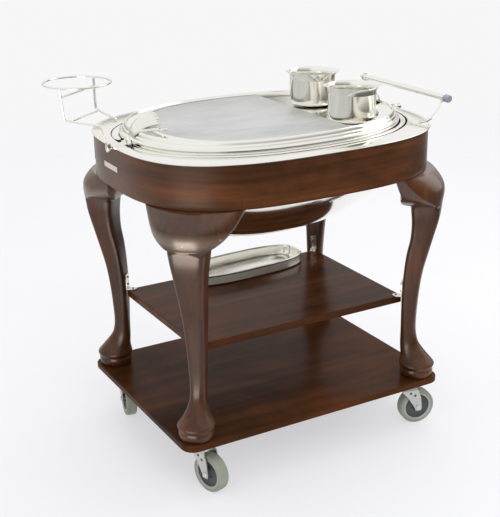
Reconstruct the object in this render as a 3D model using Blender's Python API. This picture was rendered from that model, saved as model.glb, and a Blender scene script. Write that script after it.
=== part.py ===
# Carving trolley with a roll-over dome, on four swivel casters
import bmesh
import bpy
import math
from mathutils import Vector

for old in list(bpy.data.objects):
    bpy.data.objects.remove(old, do_unlink=True)

# Clearance between pieces that touch, and the half of it at a joint line
GAP = 0.0003
HALF_GAP = GAP / 2

# Dome, which sets the plan of everything above the legs
DOME_HALF = 0.3740
DOME_RADIUS = 0.2760
DOME_WALL = 0.0020
OVAL_POWER = 2.35

# Slit round the dome, apron outside it and top plate over the apron
SLIT_CLEARANCE = 0.0140
SLIT_HALF_X = DOME_HALF + SLIT_CLEARANCE
SLIT_HALF_Y = DOME_RADIUS + SLIT_CLEARANCE
APRON_MARGIN_X = 0.0240
APRON_MARGIN_Y = 0.0400
APRON_HALF_X = SLIT_HALF_X + APRON_MARGIN_X
APRON_HALF_Y = SLIT_HALF_Y + APRON_MARGIN_Y
APRON_POWER = 2.97
APRON_THICKNESS = 0.018
APRON_HEIGHT = 0.1070
PLATE_OVERHANG_X = 0.0045
PLATE_OVERHANG_Y = 0.0055
PLATE_HALF_X = APRON_HALF_X + PLATE_OVERHANG_X
PLATE_HALF_Y = APRON_HALF_Y + PLATE_OVERHANG_Y
PLATE_POWER = 2.97
PLATE_THICKNESS = 0.0030
PLATE_ROUND = 0.0010

# Wheels
WHEEL_RADIUS = 0.050
TYRE_DEPTH = 0.0117
TYRE_SHOULDER_DEPTH = 0.0055
TYRE_EDGE_DEPTH = 0.0018
TYRE_INNER = WHEEL_RADIUS - TYRE_DEPTH
TYRE_SHOULDER = WHEEL_RADIUS - TYRE_SHOULDER_DEPTH
TYRE_EDGE = WHEEL_RADIUS - TYRE_EDGE_DEPTH
TYRE_HALF = 0.015
TYRE_FACE_INSET = 0.0020
TYRE_TREAD_INSET = 0.0055
TYRE_FACE = TYRE_HALF - TYRE_FACE_INSET
TYRE_TREAD_HALF = TYRE_HALF - TYRE_TREAD_INSET
AXLE_RADIUS = 0.0050
HUB_RADIUS = TYRE_INNER - GAP
HUB_BORE = AXLE_RADIUS + GAP
HUB_NAVE_WALL = 0.0062
HUB_NAVE = HUB_BORE + HUB_NAVE_WALL
HUB_NAVE_PROUD = 0.0018
HUB_NAVE_HALF = TYRE_HALF + HUB_NAVE_PROUD
HUB_WEB_FILLET = 0.0020
HUB_WEB_ROOT = HUB_NAVE + HUB_WEB_FILLET
HUB_WEB_HALF = 0.0085
HUB_RIM_DEPTH = 0.0045
HUB_WEB_RADIUS = HUB_RADIUS - HUB_RIM_DEPTH

# Caster forks, races and plates
TRAIL = 0.030
FORK_THICKNESS = 0.003
FORK_NAVE_CLEARANCE = 0.0017
FORK_HALF = HUB_NAVE_HALF + FORK_NAVE_CLEARANCE + FORK_THICKNESS / 2
FORK_SHOULDER_INSET = 0.0040
FORK_SHOULDER = FORK_HALF - FORK_SHOULDER_INSET
FORK_CROWN_HALF = FORK_SHOULDER / 2
AXLE_PROUD = 0.0035
AXLE_HALF = FORK_HALF + AXLE_PROUD
FORK_FOOT_DROP = 0.0095
FORK_WAIST_RISE = 0.0300
FORK_BEND_RISE = 0.0540
FORK_SHOULDER_RISE = 0.0630
FORK_CROWN_RISE = 0.0655
FORK_WAIST_SETBACK = 0.0115
FORK_HEAD_SETBACK = 0.0260
FORK_FOOT_HALF_WIDTH = 0.0080
FORK_AXLE_HALF_WIDTH = 0.0105
FORK_WAIST_HALF_WIDTH = 0.0180
FORK_HEAD_HALF_WIDTH = 0.0240
RACE_RADIUS = 0.0280
RACE_GROOVE = 0.0035
RACE_NECK = RACE_RADIUS - RACE_GROOVE
RACE_SINK = 0.0003
RACE_BULGE_RISE = 0.0028
RACE_HEIGHT = 0.0058
UPPER_RACE_RISE = 0.0035
UPPER_RACE_HEIGHT = 0.0081
RACE_LOW_Z = WHEEL_RADIUS + FORK_CROWN_RISE - RACE_SINK
RACE_MID_Z = RACE_LOW_Z + RACE_BULGE_RISE
RACE_SPLIT_Z = RACE_LOW_Z + RACE_HEIGHT
RACE_UPPER_MID_Z = RACE_SPLIT_Z + UPPER_RACE_RISE
CASTER_PLATE_THICKNESS = 0.003
CASTER_PLATE_X = 0.0450
CASTER_PLATE_Y = 0.0360
CASTER_PLATE_POWER = 6
CASTER_INSET_X = 0.071
CASTER_INSET_Y = 0.059
CASTER_TURNS_DEG = {"front_left": -75.0, "front_right": -13.0, "back_left": -103.0, "back_right": 20.0}

# Legs, set on the diagonals through the foot centres
FOOT_INSET_X = 0.0750
FOOT_INSET_Y = 0.0800
FOOT_X = APRON_HALF_X - FOOT_INSET_X
FOOT_Y = APRON_HALF_Y - FOOT_INSET_Y
LEG_HEIGHT = 0.5780
LEG_REACH = 0.060
WING_HALF = 0.118
WING_THICKNESS = 0.026
POST_HALF = 0.070
POST_BLEND = 0.026
KNEE_POWER = 2.8
LEG_POWER = 2.5
# Height, outer reach, inner reach, half width and how far the section is a wing, as shares
LEG_SHARES = (
    (0.000, 0.67, -0.67, 0.342, 0.0),
    (0.009, 0.72, -0.72, 0.366, 0.0),
    (0.033, 0.74, -0.74, 0.376, 0.0),
    (0.042, 0.715, -0.715, 0.364, 0.0),
    (0.058, 0.795, -0.785, 0.403, 0.0),
    (0.074, 0.70, -0.76, 0.360, 0.0),
    (0.107, 0.43, -0.74, 0.262, 0.0),
    (0.135, 0.21, -0.76, 0.210, 0.0),
    (0.164, 0.03, -0.775, 0.178, 0.0),
    (0.218, -0.09, -0.77, 0.173, 0.0),
    (0.294, -0.10, -0.77, 0.182, 0.0),
    (0.420, -0.02, -0.76, 0.205, 0.0),
    (0.521, 0.11, -0.70, 0.232, 0.0),
    (0.612, 0.32, -0.60, 0.265, 0.0),
    (0.680, 0.48, -0.47, 0.297, 0.0),
    (0.750, 0.65, -0.43, 0.333, 0.0),
    (0.792, 0.73, -0.45, 0.362, 0.0),
    (0.843, 0.785, -0.50, 0.395, 0.0),
    (0.849, 0.795, -0.66, 0.405, 0.5),
    (0.855, 0.81, -0.80, 0.432, 1.0),
    (0.864, 0.86, -0.83, 0.500, 1.0),
    (0.882, 0.88, -0.86, 0.635, 1.0),
    (0.900, 0.86, -0.87, 0.735, 1.0),
    (0.934, 0.755, -0.87, 0.850, 1.0),
    (0.962, 0.62, -0.86, 0.925, 1.0),
    (0.988, 0.43, -0.85, 0.985, 1.0),
    (1.000, 0.32, -0.83, 1.000, 1.0),
)
APRON_SEAM_INSET = 0.1030
APRON_SEAM_X = FOOT_X - APRON_SEAM_INSET

# Base board and middle shelf
BOARD_MARGIN_X = 0.0495
BOARD_MARGIN_Y = 0.0460
BOARD_HALF_X = FOOT_X + BOARD_MARGIN_X
BOARD_HALF_Y = FOOT_Y + BOARD_MARGIN_Y
BOARD_THICKNESS = 0.0176
BOARD_CORNER = 0.034
BOARD_EDGE = 0.0025
SHELF_SETBACK_Y = 0.0070
SHELF_HALF_X = FOOT_X - LEG_REACH / 2
SHELF_HALF_Y = FOOT_Y - LEG_REACH / 2 - SHELF_SETBACK_Y
SHELF_RISE = 0.2240
SHELF_THICKNESS = 0.0193
SHELF_CORNER = 0.004
SHELF_EDGE = 0.0015

# Levels from the floor up
BOARD_BOTTOM = RACE_SPLIT_Z + UPPER_RACE_HEIGHT + CASTER_PLATE_THICKNESS + GAP
BOARD_TOP = BOARD_BOTTOM + BOARD_THICKNESS
SHELF_TOP = BOARD_TOP + SHELF_RISE
LEG_TOP = BOARD_TOP + LEG_HEIGHT
APRON_BOTTOM = LEG_TOP
PLATE_BOTTOM = APRON_BOTTOM + APRON_HEIGHT
PLATE_TOP = PLATE_BOTTOM + PLATE_THICKNESS
PIVOT_Z = PLATE_BOTTOM

# Shelf brackets on the inner edges of the legs
BRACKET_HALF_WIDTH = 0.009
BRACKET_THICKNESS = 0.0022
BRACKET_HEIGHT = 0.045
BRACKET_FLANGE = 0.026
BRACKET_CLEARANCE = 0.0006

# Shafts that the dome turns on, its bosses, and the knob and the lug outside
SHAFT_RADIUS = 0.0080
BOSS_CLEARANCE = 0.0004
BOSS_WALL = 0.0076
BOSS_LAP = 0.0036
BOSS_BORE = SHAFT_RADIUS + BOSS_CLEARANCE
BOSS_RADIUS = BOSS_BORE + BOSS_WALL
DOME_EYE = BOSS_BORE + BOSS_LAP
BOSS_SINK = 0.0054
BOSS_PROUD = 0.0040
BOSS_INNER_X = DOME_HALF - BOSS_SINK
BOSS_OUTER_X = DOME_HALF + BOSS_PROUD
COLLAR_RISE = 0.0040
COLLAR_CLEARANCE = 0.0020
COLLAR_LENGTH = 0.0060
SHAFT_COLLAR = SHAFT_RADIUS + COLLAR_RISE
COLLAR_INNER_X = BOSS_OUTER_X + COLLAR_CLEARANCE
COLLAR_OUTER_X = COLLAR_INNER_X + COLLAR_LENGTH
FLANGE_RISE = 0.0030
SHAFT_FLANGE = SHAFT_RADIUS + FLANGE_RISE
SHAFT_FLANGE_THICKNESS = 0.005
SHAFT_PROUD = 0.0031
SHAFT_LEFT_END = PLATE_HALF_X + SHAFT_PROUD
KNOB_PROUD = 0.0035
KNOB_START_X = PLATE_HALF_X + KNOB_PROUD
KNOB_RISE = 0.0015
KNOB_RADIUS = SHAFT_RADIUS + KNOB_RISE
KNOB_GROOVE = 0.0035
KNOB_WAIST = KNOB_RADIUS - KNOB_GROOVE
KNOB_FLARE = 0.0070
KNOB_WAIST_LENGTH = 0.0060
KNOB_HEAD_LENGTH = 0.0080
KNOB_WAIST_X = KNOB_START_X + KNOB_FLARE
KNOB_HEAD_X = KNOB_WAIST_X + KNOB_WAIST_LENGTH
KNOB_END_X = KNOB_HEAD_X + KNOB_HEAD_LENGTH
LUG_THICKNESS = 0.005
LUG_RISE = 0.0150
LUG_DROP = 0.0120
LUG_HALF_TOP = 0.0085
LUG_HALF_BOTTOM = 0.0045

# Water pan with its beaded rim
PAN_CLEARANCE = 0.0060
PAN_LIP_X = DOME_HALF - PAN_CLEARANCE
PAN_LIP_Y = DOME_RADIUS - PAN_CLEARANCE
PAN_SHEET = 0.0016
PAN_MARGIN_X = 0.0650
PAN_MARGIN_Y = 0.0225
PAN_OPEN_X = PAN_LIP_X - PAN_MARGIN_X
PAN_OPEN_Y = PAN_LIP_Y - PAN_MARGIN_Y
PAN_LEDGE_X = 0.0070
PAN_LEDGE_Y = 0.0060
PAN_WALL_X = PAN_OPEN_X - PAN_LEDGE_X
PAN_WALL_Y = PAN_OPEN_Y - PAN_LEDGE_Y
PAN_SHAFT_CLEARANCE = 0.0030
RIDGE_RISE = 0.0220
FLANGE_DROP = 0.0055
LEDGE_DROP = 0.0125
PAN_DEPTH = 0.0600
PAN_KNEE_RISE = 0.0220
PAN_LIP_Z = PIVOT_Z + SHAFT_RADIUS + PAN_SHAFT_CLEARANCE
PAN_RIDGE_Z = PAN_LIP_Z + RIDGE_RISE
PAN_FLANGE_Z = PAN_RIDGE_Z - FLANGE_DROP
PAN_LEDGE_Z = PAN_FLANGE_Z - LEDGE_DROP
PAN_FLOOR_Z = PAN_LEDGE_Z - PAN_DEPTH
PAN_KNEE_Z = PAN_FLOOR_Z + PAN_KNEE_RISE
PAN_BEND = 0.006
PAN_FLOOR_BEND = 0.030
# Inset and height of the beads on the rim, as shares of the ridge's inset and rise
RIDGE_INSET = 0.0160
RIM_SHARES = ((0.00, 0.09), (0.17, 0.25), (0.31, 0.21), (0.47, 0.56), (0.62, 0.54), (0.80, 0.91))
RIDGE_DROP_INSET = 0.0020
RIDGE_RUN_INSET = 0.0040

# Carving board and the deck for the pots
TOP_CLEAR = 0.0030
DECK_LENGTH = 0.1820
CARVING_SPLIT = PAN_OPEN_X - DECK_LENGTH
CARVING_THICKNESS = 0.0120
CARVING_TOP = PAN_LEDGE_Z + CARVING_THICKNESS
CARVING_EDGE = 0.0015
DECK_THICKNESS = 0.0020
DECK_TOP = PAN_LEDGE_Z + DECK_THICKNESS
DECK_EDGE = 0.0012
SPLIT_GAP = 0.0010

# Sauce pots, each placed from the deck's straight edge and from the side of the opening
POT_RADIUS = 0.0608
POT_FOOT_INSET = 0.0088
POT_LOW_INSET = 0.0033
POT_COLLAR_RISE = 0.0067
POT_FOOT = POT_RADIUS - POT_FOOT_INSET
POT_LOW_R = POT_RADIUS - POT_LOW_INSET
POT_COLLAR = POT_RADIUS + POT_COLLAR_RISE
POT_HEIGHT = 0.0895
POT_NECK = 0.0120
POT_NECK_Z = POT_HEIGHT - POT_NECK
POT_WALL = 0.0016
POT_LIP = 0.0082
POT_LIP_TURN = math.radians(28.0)
POT_LIP_POWER = 9
POT_LOW_Z = 0.0055
POT_SIDE_Z = 0.0160
FRONT_POT_INSET = 0.0670
FRONT_POT_SIDE = 0.1155
BACK_POT_INSET = 0.0930
BACK_POT_SIDE = 0.1550

# Shell castings over the pan's ends
SHELL_LAP = 0.0020
SHELL_BACK_X = PAN_OPEN_X - SHELL_LAP
SHELL_HALF_WIDTH = 0.0400
SHELL_CROWN = 0.0600
SHELL_LEAST = 0.0024
SHELL_BASE_RISE = 0.0015
SHELL_START_SHARE = 0.04

# Push handle
BAR_OUT = 0.0335
BAR_RISE = 0.0490
BAR_X = PLATE_HALF_X + BAR_OUT
BAR_Z = PLATE_TOP + BAR_RISE
BAR_RADIUS = 0.0080
STRAP_HALF_WIDTH = 0.0060
STRAP_THICKNESS = 0.0035
STRAP_FOOT_INSET = 0.0665
STRAP_TOE_INSET = 0.0425
STRAP_HEEL_INSET = 0.0165
STRAP_HEEL_RISE = 0.0090
STRAP_RISE_INSET = 0.0180
STRAP_RISE = 0.0240
STRAP_SIDE_INSET = 0.1305
STRAP_FOOT_Y = PLATE_HALF_Y - STRAP_SIDE_INSET
STRAP_TAPER = 0.0350
STRAP_END_Y = STRAP_FOOT_Y - STRAP_TAPER
BAR_PROUD = 0.0080
BAR_HALF = STRAP_END_Y + BAR_PROUD
CAP_WALL = 0.0022
CAP_RADIUS = BAR_RADIUS + CAP_WALL
CAP_LENGTH = 0.0200
CAP_ROUND = 0.0030
FINIAL_NECK = 0.0045
FINIAL_BALL = 0.0070
FINIAL_LENGTH = 0.0160

# Plate ring on its bent rods, placed from the plate's left end and back edge
ROD_RADIUS = 0.0033
RING_RADIUS = 0.0870
RING_INSET_X = 0.0355
RING_INSET_Y = 0.0395
RING_RISE = 0.1005
RING_X = -(PLATE_HALF_X - RING_INSET_X)
RING_Y = PLATE_HALF_Y - RING_INSET_Y
RING_Z = PLATE_TOP + RING_RISE
RING_TURN_DEG = 38.2
ROD_SETBACK = 0.0010
ROD_CLEARANCE = 0.0009
ROD_TOP_CLEARANCE = 0.0006
NEAR_ROD_INSETS = ((0.0525, 0.1405), (0.0345, 0.1260), (-0.0135, 0.0875))
NEAR_ROD_LEAN = (0.0100, 0.0095)
FAR_ROD_INSETS = ((0.1215, 0.0805), (0.1155, 0.0595), (0.1045, 0.0005))
FAR_ROD_LEAN = (0.0000, -0.0030)
ROD_RISES = (0.0000, 0.0008, 0.0098, 0.0218)
BRACE_CLEARANCE = 0.0008
SLANTED_BRACE_CLEARANCE = 0.0025
BRACE_TRIM = ROD_RADIUS + BRACE_CLEARANCE
SLANTED_BRACE_TRIM = ROD_RADIUS + SLANTED_BRACE_CLEARANCE
LOWER_BRACE_RISE_SHARE = 0.90
UPPER_BRACE_RISE_SHARE = 0.72
STRIP_INSET_Y = 0.1225
STRIP_WIDTH = 0.0140
STRIP_HIGH_Y = PLATE_HALF_Y - STRIP_INSET_Y
STRIP_LOW_Y = STRIP_HIGH_Y - STRIP_WIDTH
STRIP_LENGTH = 0.0777
STRIP_THICKNESS = 0.0022

# Label plate on the left end of the apron
LABEL_LOW_Y = -0.0210
LABEL_LENGTH = 0.0790
LABEL_RISE = 0.0475
LABEL_HEIGHT = 0.0130
LABEL_BOTTOM = APRON_BOTTOM + LABEL_RISE
LABEL_THICKNESS = 0.0012

# Serving tray on the shelf
TRAY_X = 0.0380
TRAY_INSET_Y = 0.0340
TRAY_Y = SHELF_HALF_Y - TRAY_INSET_Y
TRAY_TURN_DEG = 3.0
TRAY_HALF_X = 0.1900
TRAY_HALF_Y = 0.0750
TRAY_FLOOR_INSET = 0.0100
TRAY_WALL = 0.0015
TRAY_HEIGHT = 0.0300
TRAY_BEND = 0.0040
TRAY_BEAD = 0.0035
TRAY_POWER = 2.8

# Burners in a rack under the pan
RACK_HALF_X = 0.1200
RACK_FLANGE = 0.0300
RACK_HALF_Y = 0.0450
RACK_SHEET = 0.0020
RACK_DEPTH = 0.0480
RACK_FLOOR_Z = PAN_FLOOR_Z - RACK_DEPTH
BURNER_X = 0.0600
BURNER_RADIUS = 0.0340
BURNER_HEIGHT = 0.0260
BURNER_NECK = 0.0120
BURNER_NECK_HEIGHT = 0.0090
BURNER_ROUND = 0.0040

# Numbers of facets
ROUND = 20
FINE = 24
OVAL = 40
ROD = 8
RING = 32
DOME_LENGTHS = 16
DOME_TURNS = 18
CORNER_STEPS = 6


def colour(name, rgb, metallic, roughness):
    material = bpy.data.materials.new(name)
    material.use_nodes = True
    shader = material.node_tree.nodes["Principled BSDF"]
    shader.inputs["Base Color"].default_value = (rgb[0], rgb[1], rgb[2], 1.0)
    shader.inputs["Metallic"].default_value = metallic
    shader.inputs["Roughness"].default_value = roughness
    return material


MAHOGANY = colour("mahogany", (0.12, 0.035, 0.018), 0.0, 0.35)
MAHOGANY_BOARD = colour("mahogany_board", (0.14, 0.05, 0.03), 0.0, 0.35)
SILVER = colour("silver_plate", (0.86, 0.84, 0.78), 1.0, 0.12)
BRUSHED = colour("brushed_silver", (0.72, 0.72, 0.70), 1.0, 0.35)
ZINC = colour("zinc", (0.62, 0.62, 0.60), 1.0, 0.35)
TYRE = colour("tyre", (0.16, 0.18, 0.16), 0.0, 0.7)
HUB = colour("hub", (0.08, 0.08, 0.08), 0.0, 0.5)
LABEL = colour("label", (0.80, 0.70, 0.58), 0.0, 0.5)
GREY = colour("end_cap", (0.45, 0.44, 0.50), 0.0, 0.4)
BRASS = colour("burner_brass", (0.65, 0.45, 0.18), 1.0, 0.3)

PIECES = []


def add_object(name, mesh, material, smooth_deg=35.0, place=None):
    piece = bpy.data.objects.new(name, mesh)
    bpy.context.scene.collection.objects.link(piece)
    if material is not None:
        mesh.materials.append(material)
    mesh.shade_smooth()
    mesh.set_sharp_from_angle(angle=math.radians(smooth_deg))
    if place is not None:
        shift = Vector(place)
        for vertex in mesh.vertices:
            vertex.co -= shift
        piece.location = shift
    PIECES.append(piece)
    return piece


def loft(name, rings, material, closed=False, place=None, smooth_deg=35.0):
    mesh = bpy.data.meshes.new(name)
    built = bmesh.new()
    rows = [[built.verts.new(point) for point in ring] for ring in rings]
    count = len(rings[0])
    pairs = list(zip(rows, rows[1:]))
    if closed:
        pairs.append((rows[-1], rows[0]))
    for low, high in pairs:
        for index in range(count):
            after = (index + 1) % count
            built.faces.new((low[index], low[after], high[after], high[index]))
    if not closed:
        built.faces.new(rows[0])
        built.faces.new(rows[-1])
    bmesh.ops.recalc_face_normals(built, faces=built.faces)
    built.to_mesh(mesh)
    built.free()
    return add_object(name, mesh, material, smooth_deg, place)


def lathe(name, profile, origin, axis, sides, material, place=None, swell=None):
    """Turns a profile of (radius, distance) points, from axis to axis or as a closed loop."""
    along = Vector(axis).normalized()
    across = Vector((0, 0, 1)) if abs(along.z) < 1 else Vector((1, 0, 0))
    third = along.cross(across)
    start = Vector(origin)
    mesh = bpy.data.meshes.new(name)
    built = bmesh.new()
    rows = []
    for radius, distance in profile:
        if radius == 0:
            rows.append([built.verts.new(start + along * distance)])
            continue
        row = []
        for index in range(sides):
            turn = 2 * math.pi * index / sides
            reach = radius
            if swell is not None:
                reach = swell(radius, distance, turn)
            point = start + along * distance + (across * math.cos(turn) + third * math.sin(turn)) * reach
            row.append(built.verts.new(point))
        rows.append(row)
    pairs = list(zip(rows, rows[1:]))
    if profile[0][0] != 0:
        pairs.append((rows[-1], rows[0]))
    for low, high in pairs:
        for index in range(sides):
            after = (index + 1) % sides
            if len(low) == 1:
                built.faces.new((low[0], high[after], high[index]))
            elif len(high) == 1:
                built.faces.new((low[index], low[after], high[0]))
            else:
                built.faces.new((low[index], low[after], high[after], high[index]))
    bmesh.ops.recalc_face_normals(built, faces=built.faces)
    built.to_mesh(mesh)
    built.free()
    return add_object(name, mesh, material, place=place)


def rod(name, path, radius, sides, material, closed=False):
    """Sweeps a round section along a path of points."""
    points = [Vector(point) for point in path]
    rings = []
    side = None
    last = len(points) - 1
    for index, point in enumerate(points):
        if closed:
            heading = points[(index + 1) % len(points)] - points[index - 1]
        else:
            heading = points[min(index + 1, last)] - points[max(index - 1, 0)]
        heading.normalize()
        if side is None:
            side = heading.orthogonal().normalized()
        side = (side - heading * side.dot(heading)).normalized()
        if closed:
            side = Vector((0, 0, 1))
        lift = heading.cross(side)
        turns = [2 * math.pi * step / sides for step in range(sides)]
        rings.append([point + (side * math.cos(a) + lift * math.sin(a)) * radius for a in turns])
    return loft(name, rings, material, closed=closed)


def hide(piece):
    piece.hide_render = True
    piece.display_type = "WIRE"
    PIECES.remove(piece)
    return piece


def combine(piece, other, operation):
    modifier = piece.modifiers.new(operation.lower(), "BOOLEAN")
    modifier.operation = operation
    modifier.solver = "EXACT"
    modifier.object = hide(other)


def power_point(half_x, half_y, power, turn):
    """Point of an oval whose squareness grows with the power."""
    cos_turn = math.cos(turn)
    sin_turn = math.sin(turn)
    x = math.copysign(abs(cos_turn) ** (2 / power), cos_turn) * half_x
    y = math.copysign(abs(sin_turn) ** (2 / power), sin_turn) * half_y
    return x, y


def turn_at_x(half_x, power, x):
    return math.acos(math.copysign((abs(x) / half_x) ** (power / 2), x))


def turn_at_y(half_y, power, y):
    return math.asin(math.copysign((abs(y) / half_y) ** (power / 2), y))


def span(start, end, count):
    return [start + (end - start) * index / count for index in range(count + 1)]


def oval_ring(half_x, half_y, power, z, count=OVAL):
    turns = [2 * math.pi * index / count for index in range(count)]
    return [(*power_point(half_x, half_y, power, turn), z) for turn in turns]


def bent_band(name, outer, inner, power, turns_outer, turns_inner, low, high, material):
    """A board of even height bent along an oval, between two turns."""
    rings = []
    for turn_out, turn_in in zip(turns_outer, turns_inner):
        out_x, out_y = power_point(outer[0], outer[1], power, turn_out)
        in_x, in_y = power_point(inner[0], inner[1], power, turn_in)
        rings.append([(out_x, out_y, low), (out_x, out_y, high), (in_x, in_y, high), (in_x, in_y, low)])
    return loft(name, rings, material)


def rounded_slab(name, half_x, half_y, corner, edge, low, high, material):
    """A board with rounded corners and slightly rounded edges."""
    steps = CORNER_STEPS
    levels = ((low, edge), (low + edge, 0), (high - edge, 0), (high, edge))
    rings = []
    for z, inset in levels:
        ring = []
        for quarter in range(4):
            sign_x = 1 if quarter in (0, 3) else -1
            sign_y = 1 if quarter in (0, 1) else -1
            for step in range(steps + 1):
                turn = math.pi / 2 * (quarter + step / steps)
                reach = corner - inset
                x = sign_x * (half_x - corner) + math.cos(turn) * reach
                y = sign_y * (half_y - corner) + math.sin(turn) * reach
                ring.append((x, y, z))
        rings.append(ring)
    return loft(name, rings, material)


def prism(name, outline, start, travel, material):
    """Pushes a flat outline of points along a vector."""
    base = [Vector(point) + Vector(start) for point in outline]
    return loft(name, [base, [point + Vector(travel) for point in base]], material)


CORNERS = {"front_left": (-1, -1), "front_right": (1, -1), "back_left": (-1, 1), "back_right": (1, 1)}


def corner_point(signs, outward, sideways, z):
    """Point measured from a leg's foot centre along its diagonal and across it."""
    root = math.sqrt(2)
    x = FOOT_X + (outward - sideways) / root
    y = FOOT_Y + (outward + sideways) / root
    return signs[0] * x, signs[1] * y, z


def apron_reach(sideways):
    """How far out on the diagonal the apron's face lies, at a distance across it."""
    low = -APRON_HALF_X
    high = APRON_HALF_X
    for _ in range(40):
        middle = (low + high) / 2
        x, y, _z = corner_point((1, 1), middle, sideways, 0)
        inside = max(x, 0) / APRON_HALF_X
        beside = max(y, 0) / APRON_HALF_Y
        if inside ** APRON_POWER + beside ** APRON_POWER < 1:
            low = middle
        else:
            high = middle
    return low


def leg_ring(signs, z, outer, inner, half_width, wing, count=7):
    """One level of a leg: a rounded column that turns into a wing bent along the apron."""
    middle = (outer + inner) / 2
    depth = (outer - inner) / 2
    outer_side = []
    inner_side = []
    for index in range(count):
        turn = math.pi * (index + 0.5) / count
        column_side = -math.copysign(abs(math.cos(turn)) ** (2 / LEG_POWER), math.cos(turn)) * half_width
        column_depth = math.sin(turn) ** (2 / LEG_POWER) * depth
        wing_side = -math.cos(math.pi * index / (count - 1)) * half_width
        face = apron_reach(wing_side)
        bulge = (outer - apron_reach(0)) * (1 - abs(wing_side / WING_HALF) ** KNEE_POWER)
        from_post = (abs(wing_side) - POST_HALF) / POST_BLEND
        fade = min(max(from_post, 0), 1)
        back = (face - WING_THICKNESS) * fade + inner * (1 - fade)
        side = column_side * (1 - wing) + wing_side * wing
        out = (middle + column_depth) * (1 - wing) + (face + bulge) * wing
        back_out = (middle - column_depth) * (1 - wing) + back * wing
        outer_side.append(corner_point(signs, out, side, z))
        inner_side.append(corner_point(signs, back_out, side, z))
    return outer_side + inner_side[::-1]


def leg_ends():
    return BOARD_TOP + GAP, LEG_TOP - GAP


def leg_inner(z):
    """How far out on the diagonal a leg's inner edge lies at a height."""
    low, high = leg_ends()
    share = (z - low) / (high - low)
    for before, after in zip(LEG_SHARES, LEG_SHARES[1:]):
        if before[0] <= share <= after[0]:
            along = (share - before[0]) / (after[0] - before[0])
            return (before[2] + (after[2] - before[2]) * along) * LEG_REACH
    return LEG_SHARES[-1][2] * LEG_REACH


def build_leg(corner, signs):
    low, high = leg_ends()
    rings = []
    for height, outer, inner, width, wing in LEG_SHARES:
        z = low + (high - low) * height
        rings.append(leg_ring(signs, z, outer * LEG_REACH, inner * LEG_REACH, width * WING_HALF, wing))
    loft("leg_" + corner, rings, MAHOGANY, smooth_deg=50.0)


def build_bracket(corner, signs):
    foot = SHELF_TOP + GAP
    back = leg_inner(foot) - BRACKET_CLEARANCE
    front = back - BRACKET_THICKNESS
    toe = back - BRACKET_FLANGE
    outline = (
        (back, foot), (back, foot + BRACKET_HEIGHT), (front, foot + BRACKET_HEIGHT),
        (front, foot + BRACKET_THICKNESS), (toe, foot + BRACKET_THICKNESS), (toe, foot),
    )
    sides = (-BRACKET_HALF_WIDTH, BRACKET_HALF_WIDTH)
    rings = [[corner_point(signs, out, side, z) for out, z in outline] for side in sides]
    loft("shelf_bracket_" + corner, rings, BRUSHED)


def build_apron():
    inner = (APRON_HALF_X - APRON_THICKNESS, APRON_HALF_Y - APRON_THICKNESS)
    outer = (APRON_HALF_X, APRON_HALF_Y)
    high = PLATE_BOTTOM - GAP
    near = APRON_SEAM_X - HALF_GAP
    beyond = APRON_SEAM_X + HALF_GAP
    for name, middle in (("apron_back", math.pi / 2), ("apron_front", -math.pi / 2)):
        sets = []
        for halves in (outer, inner):
            reach = math.pi / 2 - turn_at_x(halves[0], APRON_POWER, near)
            sets.append(span(middle - reach, middle + reach, 12))
        bent_band(name, outer, inner, APRON_POWER, sets[0], sets[1], APRON_BOTTOM, high, MAHOGANY)
    for name, middle in (("apron_right", 0), ("apron_left", math.pi)):
        sets = []
        for halves in (outer, inner):
            reach = turn_at_x(halves[0], APRON_POWER, beyond)
            sets.append(span(middle - reach, middle + reach, 20))
        end = bent_band(name, outer, inner, APRON_POWER, sets[0], sets[1], APRON_BOTTOM, high, MAHOGANY)
        side = 1 if middle == 0 else -1
        notch_half = SHAFT_RADIUS + 2 * GAP
        notch_low = PIVOT_Z - notch_half
        outline = (
            (0, -notch_half, notch_low), (0, notch_half, notch_low),
            (0, notch_half, PLATE_TOP), (0, -notch_half, PLATE_TOP),
        )
        start = (side * (inner[0] - APRON_THICKNESS), 0, 0)
        cutter = prism(name + "_notch", outline, start, (side * 3 * APRON_THICKNESS, 0, 0), None)
        combine(end, cutter, "DIFFERENCE")


def build_plate():
    edge = SHAFT_RADIUS + GAP
    for name, middle in (("top_plate_back", math.pi / 2), ("top_plate_front", -math.pi / 2)):
        outer_reach = math.pi / 2 - turn_at_y(PLATE_HALF_Y, PLATE_POWER, edge)
        inner_reach = math.pi / 2 - turn_at_y(SLIT_HALF_Y, OVAL_POWER, edge)
        outer_turns = span(middle - outer_reach, middle + outer_reach, FINE)
        inner_turns = span(middle - inner_reach, middle + inner_reach, FINE)
        rings = []
        for outer_turn, inner_turn in zip(outer_turns, inner_turns):
            far = power_point(PLATE_HALF_X, PLATE_HALF_Y, PLATE_POWER, outer_turn)
            crown_x = PLATE_HALF_X - PLATE_ROUND
            crown_y = PLATE_HALF_Y - PLATE_ROUND
            rounded = power_point(crown_x, crown_y, PLATE_POWER, outer_turn)
            rounded = (rounded[0], math.copysign(max(abs(rounded[1]), edge), rounded[1]))
            near = power_point(SLIT_HALF_X, SLIT_HALF_Y, OVAL_POWER, inner_turn)
            rings.append([
                (*far, PLATE_BOTTOM), (*far, PLATE_TOP - PLATE_ROUND), (*rounded, PLATE_TOP),
                (*near, PLATE_TOP), (*near, PLATE_BOTTOM),
            ])
        loft(name, rings, SILVER)


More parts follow.
